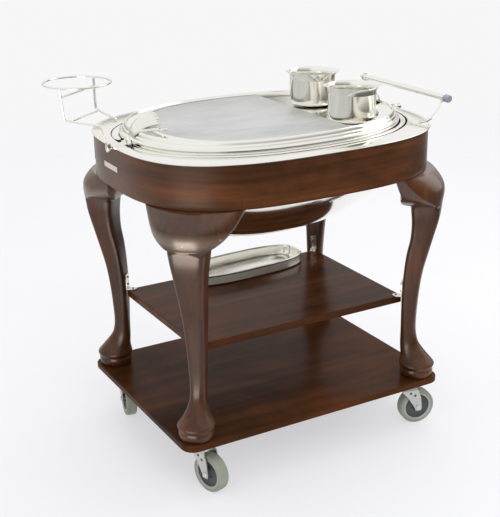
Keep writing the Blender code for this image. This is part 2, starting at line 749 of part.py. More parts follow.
def build_dome():
    steps = DOME_LENGTHS
    outer_turn = turn_at_y(DOME_RADIUS, OVAL_POWER, DOME_EYE)
    inner_radius = DOME_RADIUS - DOME_WALL
    inner_turn = turn_at_y(inner_radius, OVAL_POWER, DOME_EYE)
    outer = []
    for turn in span(outer_turn, math.pi - outer_turn, steps):
        outer.append(power_point(DOME_HALF, DOME_RADIUS, OVAL_POWER, turn))
    inner = []
    for turn in span(math.pi - inner_turn, inner_turn, steps):
        inner.append(power_point(DOME_HALF - DOME_WALL, inner_radius, OVAL_POWER, turn))
    rings = []
    for turn in span(math.pi, 2 * math.pi, DOME_TURNS):
        ring = []
        for x, radius in outer + inner:
            ring.append((x, math.cos(turn) * radius, PIVOT_Z + math.sin(turn) * radius))
        rings.append(ring)
    dome = loft("dome", rings, SILVER, place=(0, 0, PIVOT_Z))
    for side in (-1, 1):
        profile = (
            (BOSS_BORE, BOSS_INNER_X), (BOSS_RADIUS, BOSS_INNER_X),
            (BOSS_RADIUS, BOSS_OUTER_X), (BOSS_BORE, BOSS_OUTER_X),
        )
        boss = lathe("dome_boss_" + str(side + 2), profile, (0, 0, PIVOT_Z), (side, 0, 0), ROUND, SILVER)
        combine(dome, boss, "UNION")


def rim_profile():
    rise = PAN_RIDGE_Z - PAN_LIP_Z
    points = [(share * RIDGE_INSET, PAN_LIP_Z + height * rise) for share, height in RIM_SHARES]
    points.append((RIDGE_INSET, PAN_RIDGE_Z))
    points.append((RIDGE_INSET + RIDGE_DROP_INSET, PAN_RIDGE_Z - PAN_SHEET))
    points.append((RIDGE_INSET + RIDGE_RUN_INSET, PAN_FLANGE_Z))
    return points


def build_pan():
    rim = [(PAN_LIP_X - inset, PAN_LIP_Y - inset, z) for inset, z in rim_profile()]
    rim.append((PAN_OPEN_X, PAN_OPEN_Y, PAN_FLANGE_Z))
    basin = [
        (PAN_OPEN_X, PAN_OPEN_Y, PAN_LEDGE_Z - PAN_SHEET),
        (PAN_WALL_X, PAN_WALL_Y, PAN_LEDGE_Z - PAN_SHEET),
        (PAN_WALL_X, PAN_WALL_Y, PAN_KNEE_Z),
        (PAN_WALL_X - PAN_BEND, PAN_WALL_Y - PAN_BEND, PAN_FLOOR_Z + PAN_BEND),
        (PAN_WALL_X - PAN_FLOOR_BEND, PAN_WALL_Y - PAN_FLOOR_BEND, PAN_FLOOR_Z),
    ]
    over = rim + basin
    under = [(x, y, z - PAN_SHEET) for x, y, z in rim]
    under += [(x + PAN_SHEET, y + PAN_SHEET, z - PAN_SHEET) for x, y, z in basin]
    rings = [oval_ring(half_x, half_y, OVAL_POWER, z) for half_x, half_y, z in over[::-1] + under]
    loft("water_pan", rings, SILVER)


def build_tops():
    half_y = PAN_OPEN_Y - TOP_CLEAR
    reach = PAN_OPEN_X - TOP_CLEAR
    left_turn = turn_at_x(reach, OVAL_POWER, CARVING_SPLIT - SPLIT_GAP)
    right_turn = turn_at_x(reach, OVAL_POWER, CARVING_SPLIT + SPLIT_GAP)
    low = PAN_LEDGE_Z - PAN_SHEET + GAP
    for name, start, end, top, edge, finish in (
        ("carving_board", left_turn, 2 * math.pi - left_turn, CARVING_TOP, CARVING_EDGE, BRUSHED),
        ("pot_deck", -right_turn, right_turn, DECK_TOP, DECK_EDGE, SILVER),
    ):
        rings = []
        for z, inset in ((low, 0), (top - edge, 0), (top, edge)):
            turns = span(start, end, FINE)
            ring = [(*power_point(reach - inset, half_y - inset, OVAL_POWER, turn), z) for turn in turns]
            rings.append(ring)
        loft(name, rings, finish)


def pot_swell(radius, distance, turn):
    if radius <= POT_RADIUS:
        return radius
    share = (radius - POT_RADIUS) / (POT_COLLAR - POT_RADIUS)
    return radius + POT_LIP * share * abs(math.cos(turn + POT_LIP_TURN)) ** POT_LIP_POWER


def build_pots():
    wall = POT_WALL
    places = (
        ("sauce_pot_front", FRONT_POT_INSET, FRONT_POT_SIDE - PAN_OPEN_Y),
        ("sauce_pot_back", BACK_POT_INSET, PAN_OPEN_Y - BACK_POT_SIDE),
    )
    for name, inset, y in places:
        profile = (
            (0, 0), (POT_FOOT, 0), (POT_LOW_R, POT_LOW_Z), (POT_RADIUS, POT_SIDE_Z),
            (POT_RADIUS, POT_NECK_Z), (POT_COLLAR, POT_HEIGHT), (POT_COLLAR - wall, POT_HEIGHT),
            (POT_RADIUS - wall, POT_NECK_Z + wall), (POT_RADIUS - wall, POT_SIDE_Z),
            (POT_LOW_R - wall, POT_LOW_Z + wall), (POT_FOOT - wall, wall), (0, wall),
        )
        spot = (CARVING_SPLIT + inset, y, DECK_TOP + GAP)
        lathe(name, profile, spot, (0, 0, 1), ROUND, SILVER, place=spot, swell=pot_swell)


def build_shells():
    climb = [(PAN_LIP_X - inset, z) for inset, z in rim_profile() if inset <= RIDGE_INSET]
    stations = [(x, z + SHELL_BASE_RISE) for x, z in climb[1:]]
    stations += [(x, PAN_RIDGE_Z + SHELL_BASE_RISE) for x in span(climb[-1][0], SHELL_BACK_X, 4)[1:]]
    length = stations[0][0] - SHELL_BACK_X
    for name, side in (("pivot_shell_left", -1), ("pivot_shell_right", 1)):
        rings = []
        for x, base in stations:
            share = (stations[0][0] - x) / length
            swell = math.sin(math.pi / 2 * min(max(share, SHELL_START_SHARE), 1)) ** 0.5
            width = SHELL_HALF_WIDTH * swell
            crown = max(PAN_LIP_Z + SHELL_CROWN * swell, base + SHELL_LEAST)
            ring = []
            for turn in span(0, math.pi, 12):
                ring.append((side * x, math.cos(turn) * width, base + math.sin(turn) * (crown - base)))
            rings.append(ring)
        loft(name, rings, SILVER)


def build_shafts():
    flange_x = PAN_WALL_X + PAN_SHEET + GAP
    common = [
        (0, flange_x), (SHAFT_FLANGE, flange_x), (SHAFT_FLANGE, flange_x + SHAFT_FLANGE_THICKNESS),
        (SHAFT_RADIUS, flange_x + 2 * SHAFT_FLANGE_THICKNESS), (SHAFT_RADIUS, COLLAR_INNER_X),
        (SHAFT_COLLAR, COLLAR_INNER_X), (SHAFT_COLLAR, COLLAR_OUTER_X), (SHAFT_RADIUS, COLLAR_OUTER_X),
    ]
    left = common + [(SHAFT_RADIUS, SHAFT_LEFT_END), (0, SHAFT_LEFT_END)]
    right = common + [
        (SHAFT_RADIUS, KNOB_START_X), (KNOB_RADIUS, KNOB_START_X + GAP), (KNOB_WAIST, KNOB_WAIST_X),
        (KNOB_WAIST, KNOB_HEAD_X), (KNOB_RADIUS, KNOB_END_X), (0, KNOB_END_X),
    ]
    lathe("pivot_shaft_left", left, (0, 0, PIVOT_Z), (-1, 0, 0), ROUND, SILVER)
    lathe("pivot_shaft_right", right, (0, 0, PIVOT_Z), (1, 0, 0), ROUND, SILVER)
    top = PIVOT_Z + LUG_RISE
    bottom = PIVOT_Z - LUG_DROP
    outline = (
        (0, -LUG_HALF_TOP, top), (0, LUG_HALF_TOP, top),
        (0, LUG_HALF_BOTTOM, bottom), (0, -LUG_HALF_BOTTOM, bottom),
    )
    prism("pivot_lug", outline, (-SHAFT_LEFT_END - GAP, 0, 0), (-LUG_THICKNESS, 0, 0), SILVER)


def strap_rings(points, half_width, thickness):
    rings = []
    last = len(points) - 1
    for index, point in enumerate(points):
        here = Vector(point)
        heading = Vector(points[min(index + 1, last)]) - Vector(points[max(index - 1, 0)])
        heading.y = 0
        heading.normalize()
        normal = Vector((-heading.z, 0, heading.x)) * (thickness / 2)
        width = Vector((0, half_width, 0))
        low = here - normal
        high = here + normal
        rings.append([low - width, high - width, high + width, low + width])
    return rings


def build_handle():
    rod("push_bar", [(BAR_X, y, BAR_Z) for y in (-BAR_HALF, BAR_HALF)], BAR_RADIUS, ROUND, SILVER)
    lift = PLATE_TOP + GAP + STRAP_THICKNESS / 2
    for name, side in (("handle_strap_front", -1), ("handle_strap_back", 1)):
        path = (
            (PLATE_HALF_X - STRAP_FOOT_INSET, lift), (PLATE_HALF_X - STRAP_TOE_INSET, lift),
            (PLATE_HALF_X - STRAP_HEEL_INSET, PLATE_TOP + STRAP_HEEL_RISE),
            (BAR_X - STRAP_RISE_INSET, PLATE_TOP + STRAP_RISE),
            (BAR_X, BAR_Z - BAR_RADIUS - STRAP_THICKNESS / 2),
        )
        points = []
        for index, (x, z) in enumerate(path):
            y = STRAP_FOOT_Y + (STRAP_END_Y - STRAP_FOOT_Y) * index / (len(path) - 1)
            points.append((x, side * y, z))
        loft(name, strap_rings(points, STRAP_HALF_WIDTH, STRAP_THICKNESS), SILVER)
    start = BAR_HALF + GAP
    cap = (
        (0, 0), (CAP_RADIUS - CAP_ROUND, 0), (CAP_RADIUS, CAP_ROUND), (CAP_RADIUS, CAP_LENGTH - CAP_ROUND),
        (CAP_RADIUS - CAP_ROUND, CAP_LENGTH), (0, CAP_LENGTH),
    )
    lathe("handle_cap", cap, (BAR_X, -start, BAR_Z), (0, -1, 0), ROUND, GREY)
    collar = (
        (0, 0), (CAP_RADIUS, 0), (CAP_RADIUS, CAP_ROUND), (FINIAL_NECK, 2 * CAP_ROUND),
        (FINIAL_BALL, FINIAL_LENGTH - 2 * CAP_ROUND), (FINIAL_NECK, FINIAL_LENGTH), (0, FINIAL_LENGTH),
    )
    lathe("handle_finial", collar, (BAR_X, start, BAR_Z), (0, 1, 0), ROUND, SILVER)


def smooth_path(points, steps=3):
    """Adds points between the given ones, on a curve through them."""
    knots = [Vector(point) for point in points]
    result = []
    for index in range(len(knots) - 1):
        before = knots[max(index - 1, 0)]
        start = knots[index]
        end = knots[index + 1]
        after = knots[min(index + 2, len(knots) - 1)]
        for step in range(steps):
            t = step / steps
            cubic = (after - before + (start - end) * 3) * t ** 3
            square = (before * 2 - start * 5 + end * 4 - after) * t ** 2
            result.append((start * 2 + (end - before) * t + square + cubic) / 2)
    result.append(knots[-1])
    return result


def between(first, second, trim_start, trim_end):
    start = Vector(first)
    end = Vector(second)
    heading = (end - start).normalized()
    return [start + heading * trim_start, end - heading * trim_end]


def build_plate_ring():
    turns = [2 * math.pi * index / RING for index in range(RING)]
    ring = [(RING_X + math.cos(a) * RING_RADIUS, RING_Y + math.sin(a) * RING_RADIUS, RING_Z) for a in turns]
    rod("plate_ring", ring, ROD_RADIUS, ROD, SILVER, closed=True)
    turn = math.radians(RING_TURN_DEG)
    reach = RING_RADIUS - ROD_SETBACK
    foot = PLATE_TOP + ROD_RADIUS + ROD_CLEARANCE
    heights = [foot + rise for rise in ROD_RISES] + [RING_Z - ROD_RADIUS - ROD_TOP_CLEARANCE]
    ends = []
    for name, insets, lean, side in (
        ("ring_rod_near", NEAR_ROD_INSETS, NEAR_ROD_LEAN, -1),
        ("ring_rod_far", FAR_ROD_INSETS, FAR_ROD_LEAN, 1),
    ):
        plan = [(inset_x - PLATE_HALF_X, PLATE_HALF_Y - inset_y) for inset_x, inset_y in insets]
        end_x = RING_X + side * math.cos(turn) * reach
        end_y = RING_Y + side * math.sin(turn) * reach
        plan += [(end_x + lean[0], end_y + lean[1]), (end_x, end_y)]
        points = [(x, y, z) for (x, y), z in zip(plan, heights)]
        rod(name, smooth_path(points), ROD_RADIUS, ROD, SILVER)
        ends.append(points)
    low = []
    high = []
    for points in ends:
        start = Vector(points[1])
        low.append(start + (Vector(points[2]) - start) * LOWER_BRACE_RISE_SHARE)
        start = Vector(points[3])
        high.append(start + (Vector(points[4]) - start) * UPPER_BRACE_RISE_SHARE)
    rod("ring_brace_lower", between(low[0], low[1], BRACE_TRIM, SLANTED_BRACE_TRIM), ROD_RADIUS, ROD, SILVER)
    rod("ring_brace_upper", between(high[0], high[1], BRACE_TRIM, BRACE_TRIM), ROD_RADIUS, ROD, SILVER)


def build_on_apron(name, low_y, high_y, bottom, top, thickness, steps, material):
    inner = (APRON_HALF_X + GAP, APRON_HALF_Y + GAP)
    outer = (inner[0] + thickness, inner[1] + thickness)
    sets = []
    for halves in (outer, inner):
        first = math.pi - turn_at_y(halves[1], APRON_POWER, low_y)
        final = math.pi - turn_at_y(halves[1], APRON_POWER, high_y)
        sets.append(span(first, final, steps))
    bent_band(name, outer, inner, APRON_POWER, sets[0], sets[1], bottom, top, material)


def tray_ring(inset, z):
    turn = math.radians(TRAY_TURN_DEG)
    ring = []
    for x, y, _z in oval_ring(TRAY_HALF_X - inset, TRAY_HALF_Y - inset, TRAY_POWER, 0):
        turned_x = x * math.cos(turn) - y * math.sin(turn)
        turned_y = x * math.sin(turn) + y * math.cos(turn)
        ring.append((TRAY_X + turned_x, TRAY_Y + turned_y, z))
    return ring


def build_tray():
    low = SHELF_TOP + GAP
    top = low + TRAY_HEIGHT
    floor = TRAY_FLOOR_INSET
    levels = (
        (floor + TRAY_BEND, low), (floor, low + TRAY_BEND), (TRAY_BEAD, top - TRAY_BEAD),
        (0, top - TRAY_BEAD), (0, top), (TRAY_BEAD + TRAY_WALL, top),
        (TRAY_BEAD + TRAY_WALL, top - TRAY_BEAD), (floor + TRAY_WALL, low + TRAY_BEND),
        (floor + TRAY_BEND + TRAY_WALL, low + TRAY_WALL),
    )
    loft("serving_tray", [tray_ring(inset, z) for inset, z in levels], SILVER)


def build_burners():
    top = PAN_FLOOR_Z - PAN_SHEET - GAP
    sheet = RACK_SHEET
    half = RACK_HALF_X
    toe = half + RACK_FLANGE
    heel = half + sheet
    under = top - sheet
    floor = RACK_FLOOR_Z + sheet
    outline = (
        (-toe, 0, top), (-toe, 0, under), (-heel, 0, under), (-heel, 0, RACK_FLOOR_Z),
        (heel, 0, RACK_FLOOR_Z), (heel, 0, under), (toe, 0, under), (toe, 0, top),
        (half, 0, top), (half, 0, floor), (-half, 0, floor), (-half, 0, top),
    )
    prism("burner_rack", outline, (0, -RACK_HALF_Y, 0), (0, 2 * RACK_HALF_Y, 0), ZINC)
    cap_z = BURNER_HEIGHT + BURNER_NECK_HEIGHT
    profile = (
        (0, 0), (BURNER_RADIUS - BURNER_ROUND, 0), (BURNER_RADIUS, BURNER_ROUND),
        (BURNER_RADIUS, BURNER_HEIGHT - BURNER_ROUND), (BURNER_RADIUS - BURNER_ROUND, BURNER_HEIGHT),
        (BURNER_NECK, BURNER_HEIGHT), (BURNER_NECK, cap_z), (0, cap_z),
    )
    for name, side in (("burner_left", -1), ("burner_right", 1)):
        spot = (side * BURNER_X, 0, floor + GAP)
        lathe(name, profile, spot, (0, 0, 1), ROUND, BRASS)


def build_caster(corner, signs):
    swivel_x = signs[0] * (BOARD_HALF_X - CASTER_INSET_X)
    swivel_y = signs[1] * (BOARD_HALF_Y - CASTER_INSET_Y)
    turn = math.radians(CASTER_TURNS_DEG[corner])
    trail = Vector((math.cos(turn), math.sin(turn), 0))
    across = Vector((-math.sin(turn), math.cos(turn), 0))
    swivel = Vector((swivel_x, swivel_y, 0))
    axle = swivel + trail * TRAIL + Vector((0, 0, WHEEL_RADIUS))

    plate_top = BOARD_BOTTOM - GAP
    plate_low = plate_top - CASTER_PLATE_THICKNESS

    def circle(radius, z):
        turns = [2 * math.pi * index / ROUND for index in range(ROUND)]
        return [(swivel_x + math.cos(a) * radius, swivel_y + math.sin(a) * radius, z) for a in turns]

    def flat(z):
        shape = oval_ring(CASTER_PLATE_X, CASTER_PLATE_Y, CASTER_PLATE_POWER, z, ROUND)
        return [(swivel_x + x, swivel_y + y, level) for x, y, level in shape]

    rings = [
        flat(plate_top), flat(plate_low), circle(RACE_NECK, plate_low),
        circle(RACE_RADIUS, RACE_UPPER_MID_Z), circle(RACE_NECK, RACE_SPLIT_Z + GAP),
    ]
    loft("caster_plate_" + corner, rings, ZINC)

    half = FORK_HALF
    side_points = (
        (-half, WHEEL_RADIUS - FORK_FOOT_DROP, TRAIL, FORK_FOOT_HALF_WIDTH),
        (-half, WHEEL_RADIUS, TRAIL, FORK_AXLE_HALF_WIDTH),
        (-half, WHEEL_RADIUS + FORK_WAIST_RISE, TRAIL - FORK_WAIST_SETBACK, FORK_WAIST_HALF_WIDTH),
        (-half, WHEEL_RADIUS + FORK_BEND_RISE, TRAIL - FORK_HEAD_SETBACK, FORK_HEAD_HALF_WIDTH),
        (-FORK_SHOULDER, WHEEL_RADIUS + FORK_SHOULDER_RISE, 0, FORK_HEAD_HALF_WIDTH),
        (-FORK_CROWN_HALF, WHEEL_RADIUS + FORK_CROWN_RISE, 0, FORK_HEAD_HALF_WIDTH),
    )
    path = list(side_points) + [(-a, z, t, w) for a, z, t, w in side_points[::-1]]
    rings = []
    last = len(path) - 1
    for index, (side, z, ahead, width) in enumerate(path):
        before = path[max(index - 1, 0)]
        after = path[min(index + 1, last)]
        heading = Vector((after[0] - before[0], after[1] - before[1])).normalized()
        normal = Vector((-heading.y, heading.x)) * (FORK_THICKNESS / 2)
        ring = []
        for sign, step in ((-1, -1), (1, -1), (1, 1), (-1, 1)):
            out = side + normal.x * sign
            up = z + normal.y * sign
            point = swivel + across * out + trail * (ahead + width * step) + Vector((0, 0, up))
            ring.append(point)
        rings.append(ring)
    fork = loft("caster_fork_" + corner, rings, ZINC, place=swivel)
    race = (
        (0, RACE_LOW_Z), (RACE_NECK, RACE_LOW_Z), (RACE_RADIUS, RACE_MID_Z), (RACE_NECK, RACE_SPLIT_Z),
        (0, RACE_SPLIT_Z),
    )
    combine(fork, lathe("race_" + corner, race, swivel, (0, 0, 1), ROUND, ZINC), "UNION")
    pin = ((0, -AXLE_HALF), (AXLE_RADIUS, -AXLE_HALF), (AXLE_RADIUS, AXLE_HALF), (0, AXLE_HALF))
    combine(fork, lathe("axle_" + corner, pin, axle, across, ROUND, ZINC), "UNION")

    hub = (
        (HUB_BORE, -HUB_NAVE_HALF), (HUB_NAVE, -HUB_NAVE_HALF), (HUB_WEB_ROOT, -HUB_WEB_HALF),
        (HUB_WEB_RADIUS, -HUB_WEB_HALF), (HUB_RADIUS, -TYRE_FACE), (HUB_RADIUS, TYRE_FACE),
        (HUB_WEB_RADIUS, HUB_WEB_HALF), (HUB_WEB_ROOT, HUB_WEB_HALF), (HUB_NAVE, HUB_NAVE_HALF),
        (HUB_BORE, HUB_NAVE_HALF),
    )
    lathe("caster_hub_" + corner, hub, axle, across, FINE, HUB, place=axle)
    tyre = (
        (TYRE_INNER, -TYRE_FACE), (TYRE_SHOULDER, -TYRE_HALF), (TYRE_EDGE, -TYRE_FACE),
        (WHEEL_RADIUS, -TYRE_TREAD_HALF), (WHEEL_RADIUS, TYRE_TREAD_HALF), (TYRE_EDGE, TYRE_FACE),
        (TYRE_SHOULDER, TYRE_HALF), (TYRE_INNER, TYRE_FACE),
    )
    lathe("caster_tyre_" + corner, tyre, axle, across, FINE, TYRE, place=axle)


def centre_on_floor():
    """Puts the middle of the bounding box over the origin, with the wheels on the floor."""
    bpy.context.view_layer.update()
    corners = [piece.matrix_world @ vertex.co for piece in PIECES for vertex in piece.data.vertices]
    low = [min(corner[axis] for corner in corners) for axis in range(3)]
    high = [max(corner[axis] for corner in corners) for axis in range(3)]
    shift = Vector(((low[0] + high[0]) / 2, (low[1] + high[1]) / 2, low[2]))
    for piece in bpy.context.scene.objects:
        piece.location -= shift


rounded_slab(
    "base_board", BOARD_HALF_X, BOARD_HALF_Y, BOARD_CORNER, BOARD_EDGE,
    BOARD_BOTTOM, BOARD_TOP, MAHOGANY_BOARD,
)
rounded_slab(
    "middle_shelf", SHELF_HALF_X, SHELF_HALF_Y, SHELF_CORNER, SHELF_EDGE,
    SHELF_TOP - SHELF_THICKNESS, SHELF_TOP, MAHOGANY_BOARD,
)
for corner_name, corner_signs in CORNERS.items():
    build_leg(corner_name, corner_signs)
    build_bracket(corner_name, corner_signs)
    build_caster(corner_name, corner_signs)
build_apron()
build_plate()
build_dome()
build_pan()
build_tops()
build_pots()
build_shells()
build_shafts()
build_handle()
build_plate_ring()
build_on_apron(
    "ring_strip", STRIP_LOW_Y, STRIP_HIGH_Y, PLATE_BOTTOM - GAP - STRIP_LENGTH, PLATE_BOTTOM - GAP,
    STRIP_THICKNESS, 2, SILVER,
)
build_on_apron(
    "label_plate", LABEL_LOW_Y, LABEL_LOW_Y + LABEL_LENGTH, LABEL_BOTTOM, LABEL_BOTTOM + LABEL_HEIGHT,
    LABEL_THICKNESS, 6, LABEL,
)
build_tray()
build_burners()
centre_on_floor()
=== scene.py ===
from math import acos, asin, copysign, cos, dist, pi, radians, sin, sqrt

import bmesh
import bpy
from mathutils import Matrix, Vector


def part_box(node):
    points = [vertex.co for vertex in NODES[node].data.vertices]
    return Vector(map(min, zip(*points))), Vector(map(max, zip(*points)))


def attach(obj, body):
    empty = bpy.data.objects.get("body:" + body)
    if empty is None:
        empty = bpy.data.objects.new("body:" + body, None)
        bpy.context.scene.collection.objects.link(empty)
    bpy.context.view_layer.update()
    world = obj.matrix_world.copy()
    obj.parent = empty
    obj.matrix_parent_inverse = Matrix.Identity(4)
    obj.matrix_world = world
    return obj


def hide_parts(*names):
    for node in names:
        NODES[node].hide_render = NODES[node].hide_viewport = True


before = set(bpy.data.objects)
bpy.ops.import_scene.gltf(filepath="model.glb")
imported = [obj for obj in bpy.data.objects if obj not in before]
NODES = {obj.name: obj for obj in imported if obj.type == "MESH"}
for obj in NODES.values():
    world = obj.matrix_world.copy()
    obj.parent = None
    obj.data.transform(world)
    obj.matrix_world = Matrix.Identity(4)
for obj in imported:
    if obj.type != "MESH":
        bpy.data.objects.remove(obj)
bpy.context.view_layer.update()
ROOT = "trolley"
scene = bpy.context.scene

# Pieces are drawn round a middle at 0, 0. OX, OY is where that middle stands in the shared frame.
dome_low, dome_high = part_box("dome")
OX = (dome_low.x + dome_high.x) / 2
OY = (dome_low.y + dome_high.y) / 2

# Sizes are in metres. An oval is (half its length, half its width). Its power says how square
# it is: 2 is an ellipse, and more is squarer.
OVAL = 2.35  # power of the slit, the dome, the pan and the board
APRON, APRON_POWER = (0.412, 0.330), 2.97
PLATE_OUTER, PLATE_INNER = (0.4165, 0.3355), (0.388, 0.290)
DOME, LIP = (0.374, 0.276), (0.378, 0.278)
PAN = (0.368, 0.270)
BOARD = (0.300, 0.2445)
TRAY, TRAY_POWER = (0.19, 0.075), 2.8
PIVOT_Z = 0.835  # level of the dome's shafts and of the plate's underside
SHELF_TOP = 0.3743
BAR_X, BAR_Z = 0.450, 0.887
FOOT_X, FOOT_Y = 0.337, 0.250
CORNERS = {"front_left": (-1, -1), "front_right": (1, -1), "back_left": (-1, 1), "back_right": (1, 1)}


# Materials

def grey(value):
    return (value, value, value)


def fill(node, values):
    for name, value in values.items():
        node.inputs[name].default_value = value


class Tree:
    """Makes and links the nodes of one node tree."""

    def __init__(self, tree):
        self.tree = tree
        self.coord = self.new("TexCoord")

    def new(self, kind, **values):
        """A node, with values for the inputs that have these names."""
        node = self.tree.nodes.new("ShaderNode" + kind)
        fill(node, {name.replace("_", " "): value for name, value in values.items()})
        return node

    def link(self, out, into):
        self.tree.links.new(out, into)

    def noise(self, scale, detail, rough, size=1.0, rotation=(0, 0, 0), distortion=0.0):
        place = self.new("Mapping", Scale=scale, Rotation=rotation)
        self.link(self.coord.outputs["Object"], place.inputs["Vector"])
        node = self.new("TexNoise", Scale=size, Detail=detail, Roughness=rough, Distortion=distortion)
        self.link(place.outputs["Vector"], node.inputs["Vector"])
        return node.outputs["Fac"]

    def ramp(self, value, stops):
        node = self.new("ValToRGB")
        elements = node.color_ramp.elements
        for element, (place, colour) in ((elements[0], stops[0]), (elements[1], stops[-1])):
            element.position = place
            element.color = (*colour, 1)
        for place, colour in stops[1:-1]:
            elements.new(place).color = (*colour, 1)
        self.link(value, node.inputs["Fac"])
        return node.outputs["Color"]

    def mix(self, factor, first, second, blend="MIX"):
        node = self.new("Mix")
        node.data_type = "RGBA"
        node.blend_type = blend
        for value, index in ((factor, 0), (first, 6), (second, 7)):
            if isinstance(value, (int, float)):
                node.inputs[index].default_value = value
            elif isinstance(value, tuple):
                node.inputs[index].default_value = (*value, 1)
            else:
                self.link(value, node.inputs[index])
        return node.outputs[2]

    def span(self, value, low, high, start=0.0, end=1.0):
        """low where value is start, high where it is end."""
        node = self.new("MapRange", From_Min=start, From_Max=end, To_Min=low, To_Max=high)
        self.link(value, node.inputs["Value"])
        return node.outputs["Result"]

    def split(self, vector):
        node = self.new("SeparateXYZ")
        self.link(vector, node.inputs[0])
        return node.outputs

    def toward(self, vector, direction):
        """How far a vector goes in a direction."""
        node = self.new("VectorMath")
        node.operation = "DOT_PRODUCT"
        node.inputs[1].default_value = direction
        self.link(vector, node.inputs[0])
        return node.outputs["Value"]

    def combine(self, operation, first, second):
        node = self.new("Math")
        node.operation = operation
        self.link(first, node.inputs[0])
        self.link(second, node.inputs[1])
        return node.outputs[0]


class Surface(Tree):
    """A material with a Principled shader."""

    def __init__(self, name):
        self.mat = bpy.data.materials.new(name)
        self.mat.use_nodes = True
        super().__init__(self.mat.node_tree)
        self.shader = self.tree.nodes["Principled BSDF"]

    def feed(self, out, name):
        self.link(out, self.shader.inputs[name])

    def set(self, values):
        fill(self.shader, values)

    def bump(self, height, strength, distance):
        node = self.new("Bump", Strength=strength, Distance=distance)
        self.link(height, node.inputs["Height"])
        self.feed(node.outputs["Normal"], "Normal")


def wood(name, along, tint, gloss, coat, contrast, sheen=(0.26, 0.42), wear_and_highlight_band=()):
    """Dark mahogany, mottled where the stain has worn.

    The grain runs along x, along z or along the bend of an apron board. The last argument gives the
    two heights between which the knees on the left are painted paler, partly as wear with pale nicks
    and partly as a painted highlight along the lower bulge of the knee.
    """
    m = Surface(name)
    fine = {"x": (2.0, 70, 70), "z": (70, 70, 2.0), "bend": (2.2, 2.2, 75)}[along]
    broad = {"x": (0.9, 9, 9), "z": (9, 9, 0.9), "bend": (1.2, 1.2, 13)}[along]
    streak = m.noise(fine, 8, 0.65, 1.6, distortion=0.2)
    band = m.noise(broad, 4, 0.55, 1.6, distortion=0.6)
    patch = m.noise((3.4, 3.4, 5.0), 5, 0.62, distortion=0.8)
    pores = m.noise(tuple(value * 3.2 for value in fine), 2, 0.5, 1.6)
    dark = tuple(value * tint for value in (0.037, 0.0136, 0.0052))
    mid = tuple(value * tint for value in (0.076, 0.0270, 0.0092))
    warm = tuple(value * tint for value in (0.126, 0.0430, 0.0130))
    base = m.ramp(band, [(0.28, dark), (0.52, mid), (0.76, warm)])
    grain = m.ramp(streak, [(0.30, (0.55, 0.52, 0.50)), (0.62, (1.12, 1.10, 1.06))])
    wear = m.ramp(patch, [(0.34, (0.56, 0.51, 0.46)), (0.52, grey(1.0)), (0.70, (1.46, 1.16, 1.02))])
    colour = m.mix(contrast, base, grain, "MULTIPLY")
    colour = m.mix(0.85, colour, wear, "MULTIPLY")
    m.set({"Coat Weight": coat, "Coat Roughness": 0.24 if wear_and_highlight_band else 0.12, "Specular IOR Level": gloss})
    if wear_and_highlight_band:
        # Painted highlight and wear: between these heights the knees on the left are painted paler,
        # partly as wear and partly as a painted highlight where the lower bulge of the knee catches the
        # light. The knees on the right get none of it.
        place = m.split(m.coord.outputs["Object"])
        level = m.span(place["Z"], 0.0, 1.0, *wear_and_highlight_band)
        left_half = m.span(place["X"], 1.0, 0.0, -0.05, 0.05)
        wear_and_highlight_mask = m.ramp(level, [(0.0, grey(0)), (0.30, grey(0.70)), (0.58, grey(0.62)), (1.0, grey(0))])
        wear_and_highlight_mask = m.mix(1.0, wear_and_highlight_mask, m.ramp(patch, [(0.3, grey(0.5)), (0.6, grey(1))]), "MULTIPLY")
        wear_and_highlight_mask = m.mix(1.0, wear_and_highlight_mask, left_half, "MULTIPLY")
        # The paler colour of the band, partly wear and partly painted highlight.
        colour = m.mix(wear_and_highlight_mask, colour, (0.27, 0.195, 0.145))
        nicks = m.ramp(m.noise((95, 95, 95), 2, 0.5), [(0.69, grey(0)), (0.73, grey(1.2))])
        colour = m.mix(m.mix(1.0, wear_and_highlight_mask, nicks, "MULTIPLY"), colour, (0.50, 0.43, 0.36))
        m.feed(m.span(place["Z"], coat, 0.90, 0.60, 0.66), "Coat Weight")
    m.feed(colour, "Base Color")
    m.feed(m.span(streak, *sheen), "Roughness")
    m.bump(pores, 0.10, 0.0004)
    return m.mat


def silver(name, rough=0.09, tone=(0.93, 0.92, 0.885)):
    """Old silver plate: near white, polished by hand, with faint swirls."""
    m = Surface(name)
    cloud = m.noise((9, 9, 9), 3, 0.5)
    swirl = m.noise((260, 260, 260), 2, 0.5, distortion=1.5)
    warm = (tone[0] * 0.975, tone[1] * 0.965, tone[2] * 0.93)
    m.feed(m.ramp(cloud, [(0.35, warm), (0.65, tone)]), "Base Color")
    m.feed(m.span(cloud, rough * 0.7, rough * 1.6), "Roughness")
    m.set({"Metallic": 1.0})
    m.bump(swirl, 0.02, 0.0002)
    return m.mat


def brushed(name):
    """Brushed board: fine lines one way and faint wiping marks."""
    m = Surface(name)
    slant = (0, 0, radians(24))
    lines = m.noise((6, 420, 60), 3, 0.6, rotation=slant)
    cloud = m.noise((5, 11, 4), 4, 0.6, rotation=slant)
    tone = m.ramp(cloud, [(0.32, (0.545, 0.55, 0.55)), (0.68, (0.70, 0.705, 0.70))])
    shade = m.ramp(lines, [(0.3, grey(0.90)), (0.7, grey(1.04))])
    m.feed(m.mix(0.8, tone, shade, "MULTIPLY"), "Base Color")
    m.feed(m.span(lines, 0.28, 0.46), "Roughness")
    m.set({"Metallic": 0.85})
    m.bump(lines, 0.06, 0.0002)
    return m.mat


def steel(name, tone=(0.62, 0.62, 0.60), rough=0.28):
    """Dull metal with darker spots."""
    m = Surface(name)
    spots = m.noise((90, 90, 90), 4, 0.65)
    m.feed(m.ramp(spots, [(0.3, tuple(v * 0.78 for v in tone)), (0.7, tone)]), "Base Color")
    m.feed(m.span(spots, rough * 0.8, rough * 1.5), "Roughness")
    m.set({"Metallic": 1.0})
    m.bump(spots, 0.04, 0.0003)
    return m.mat


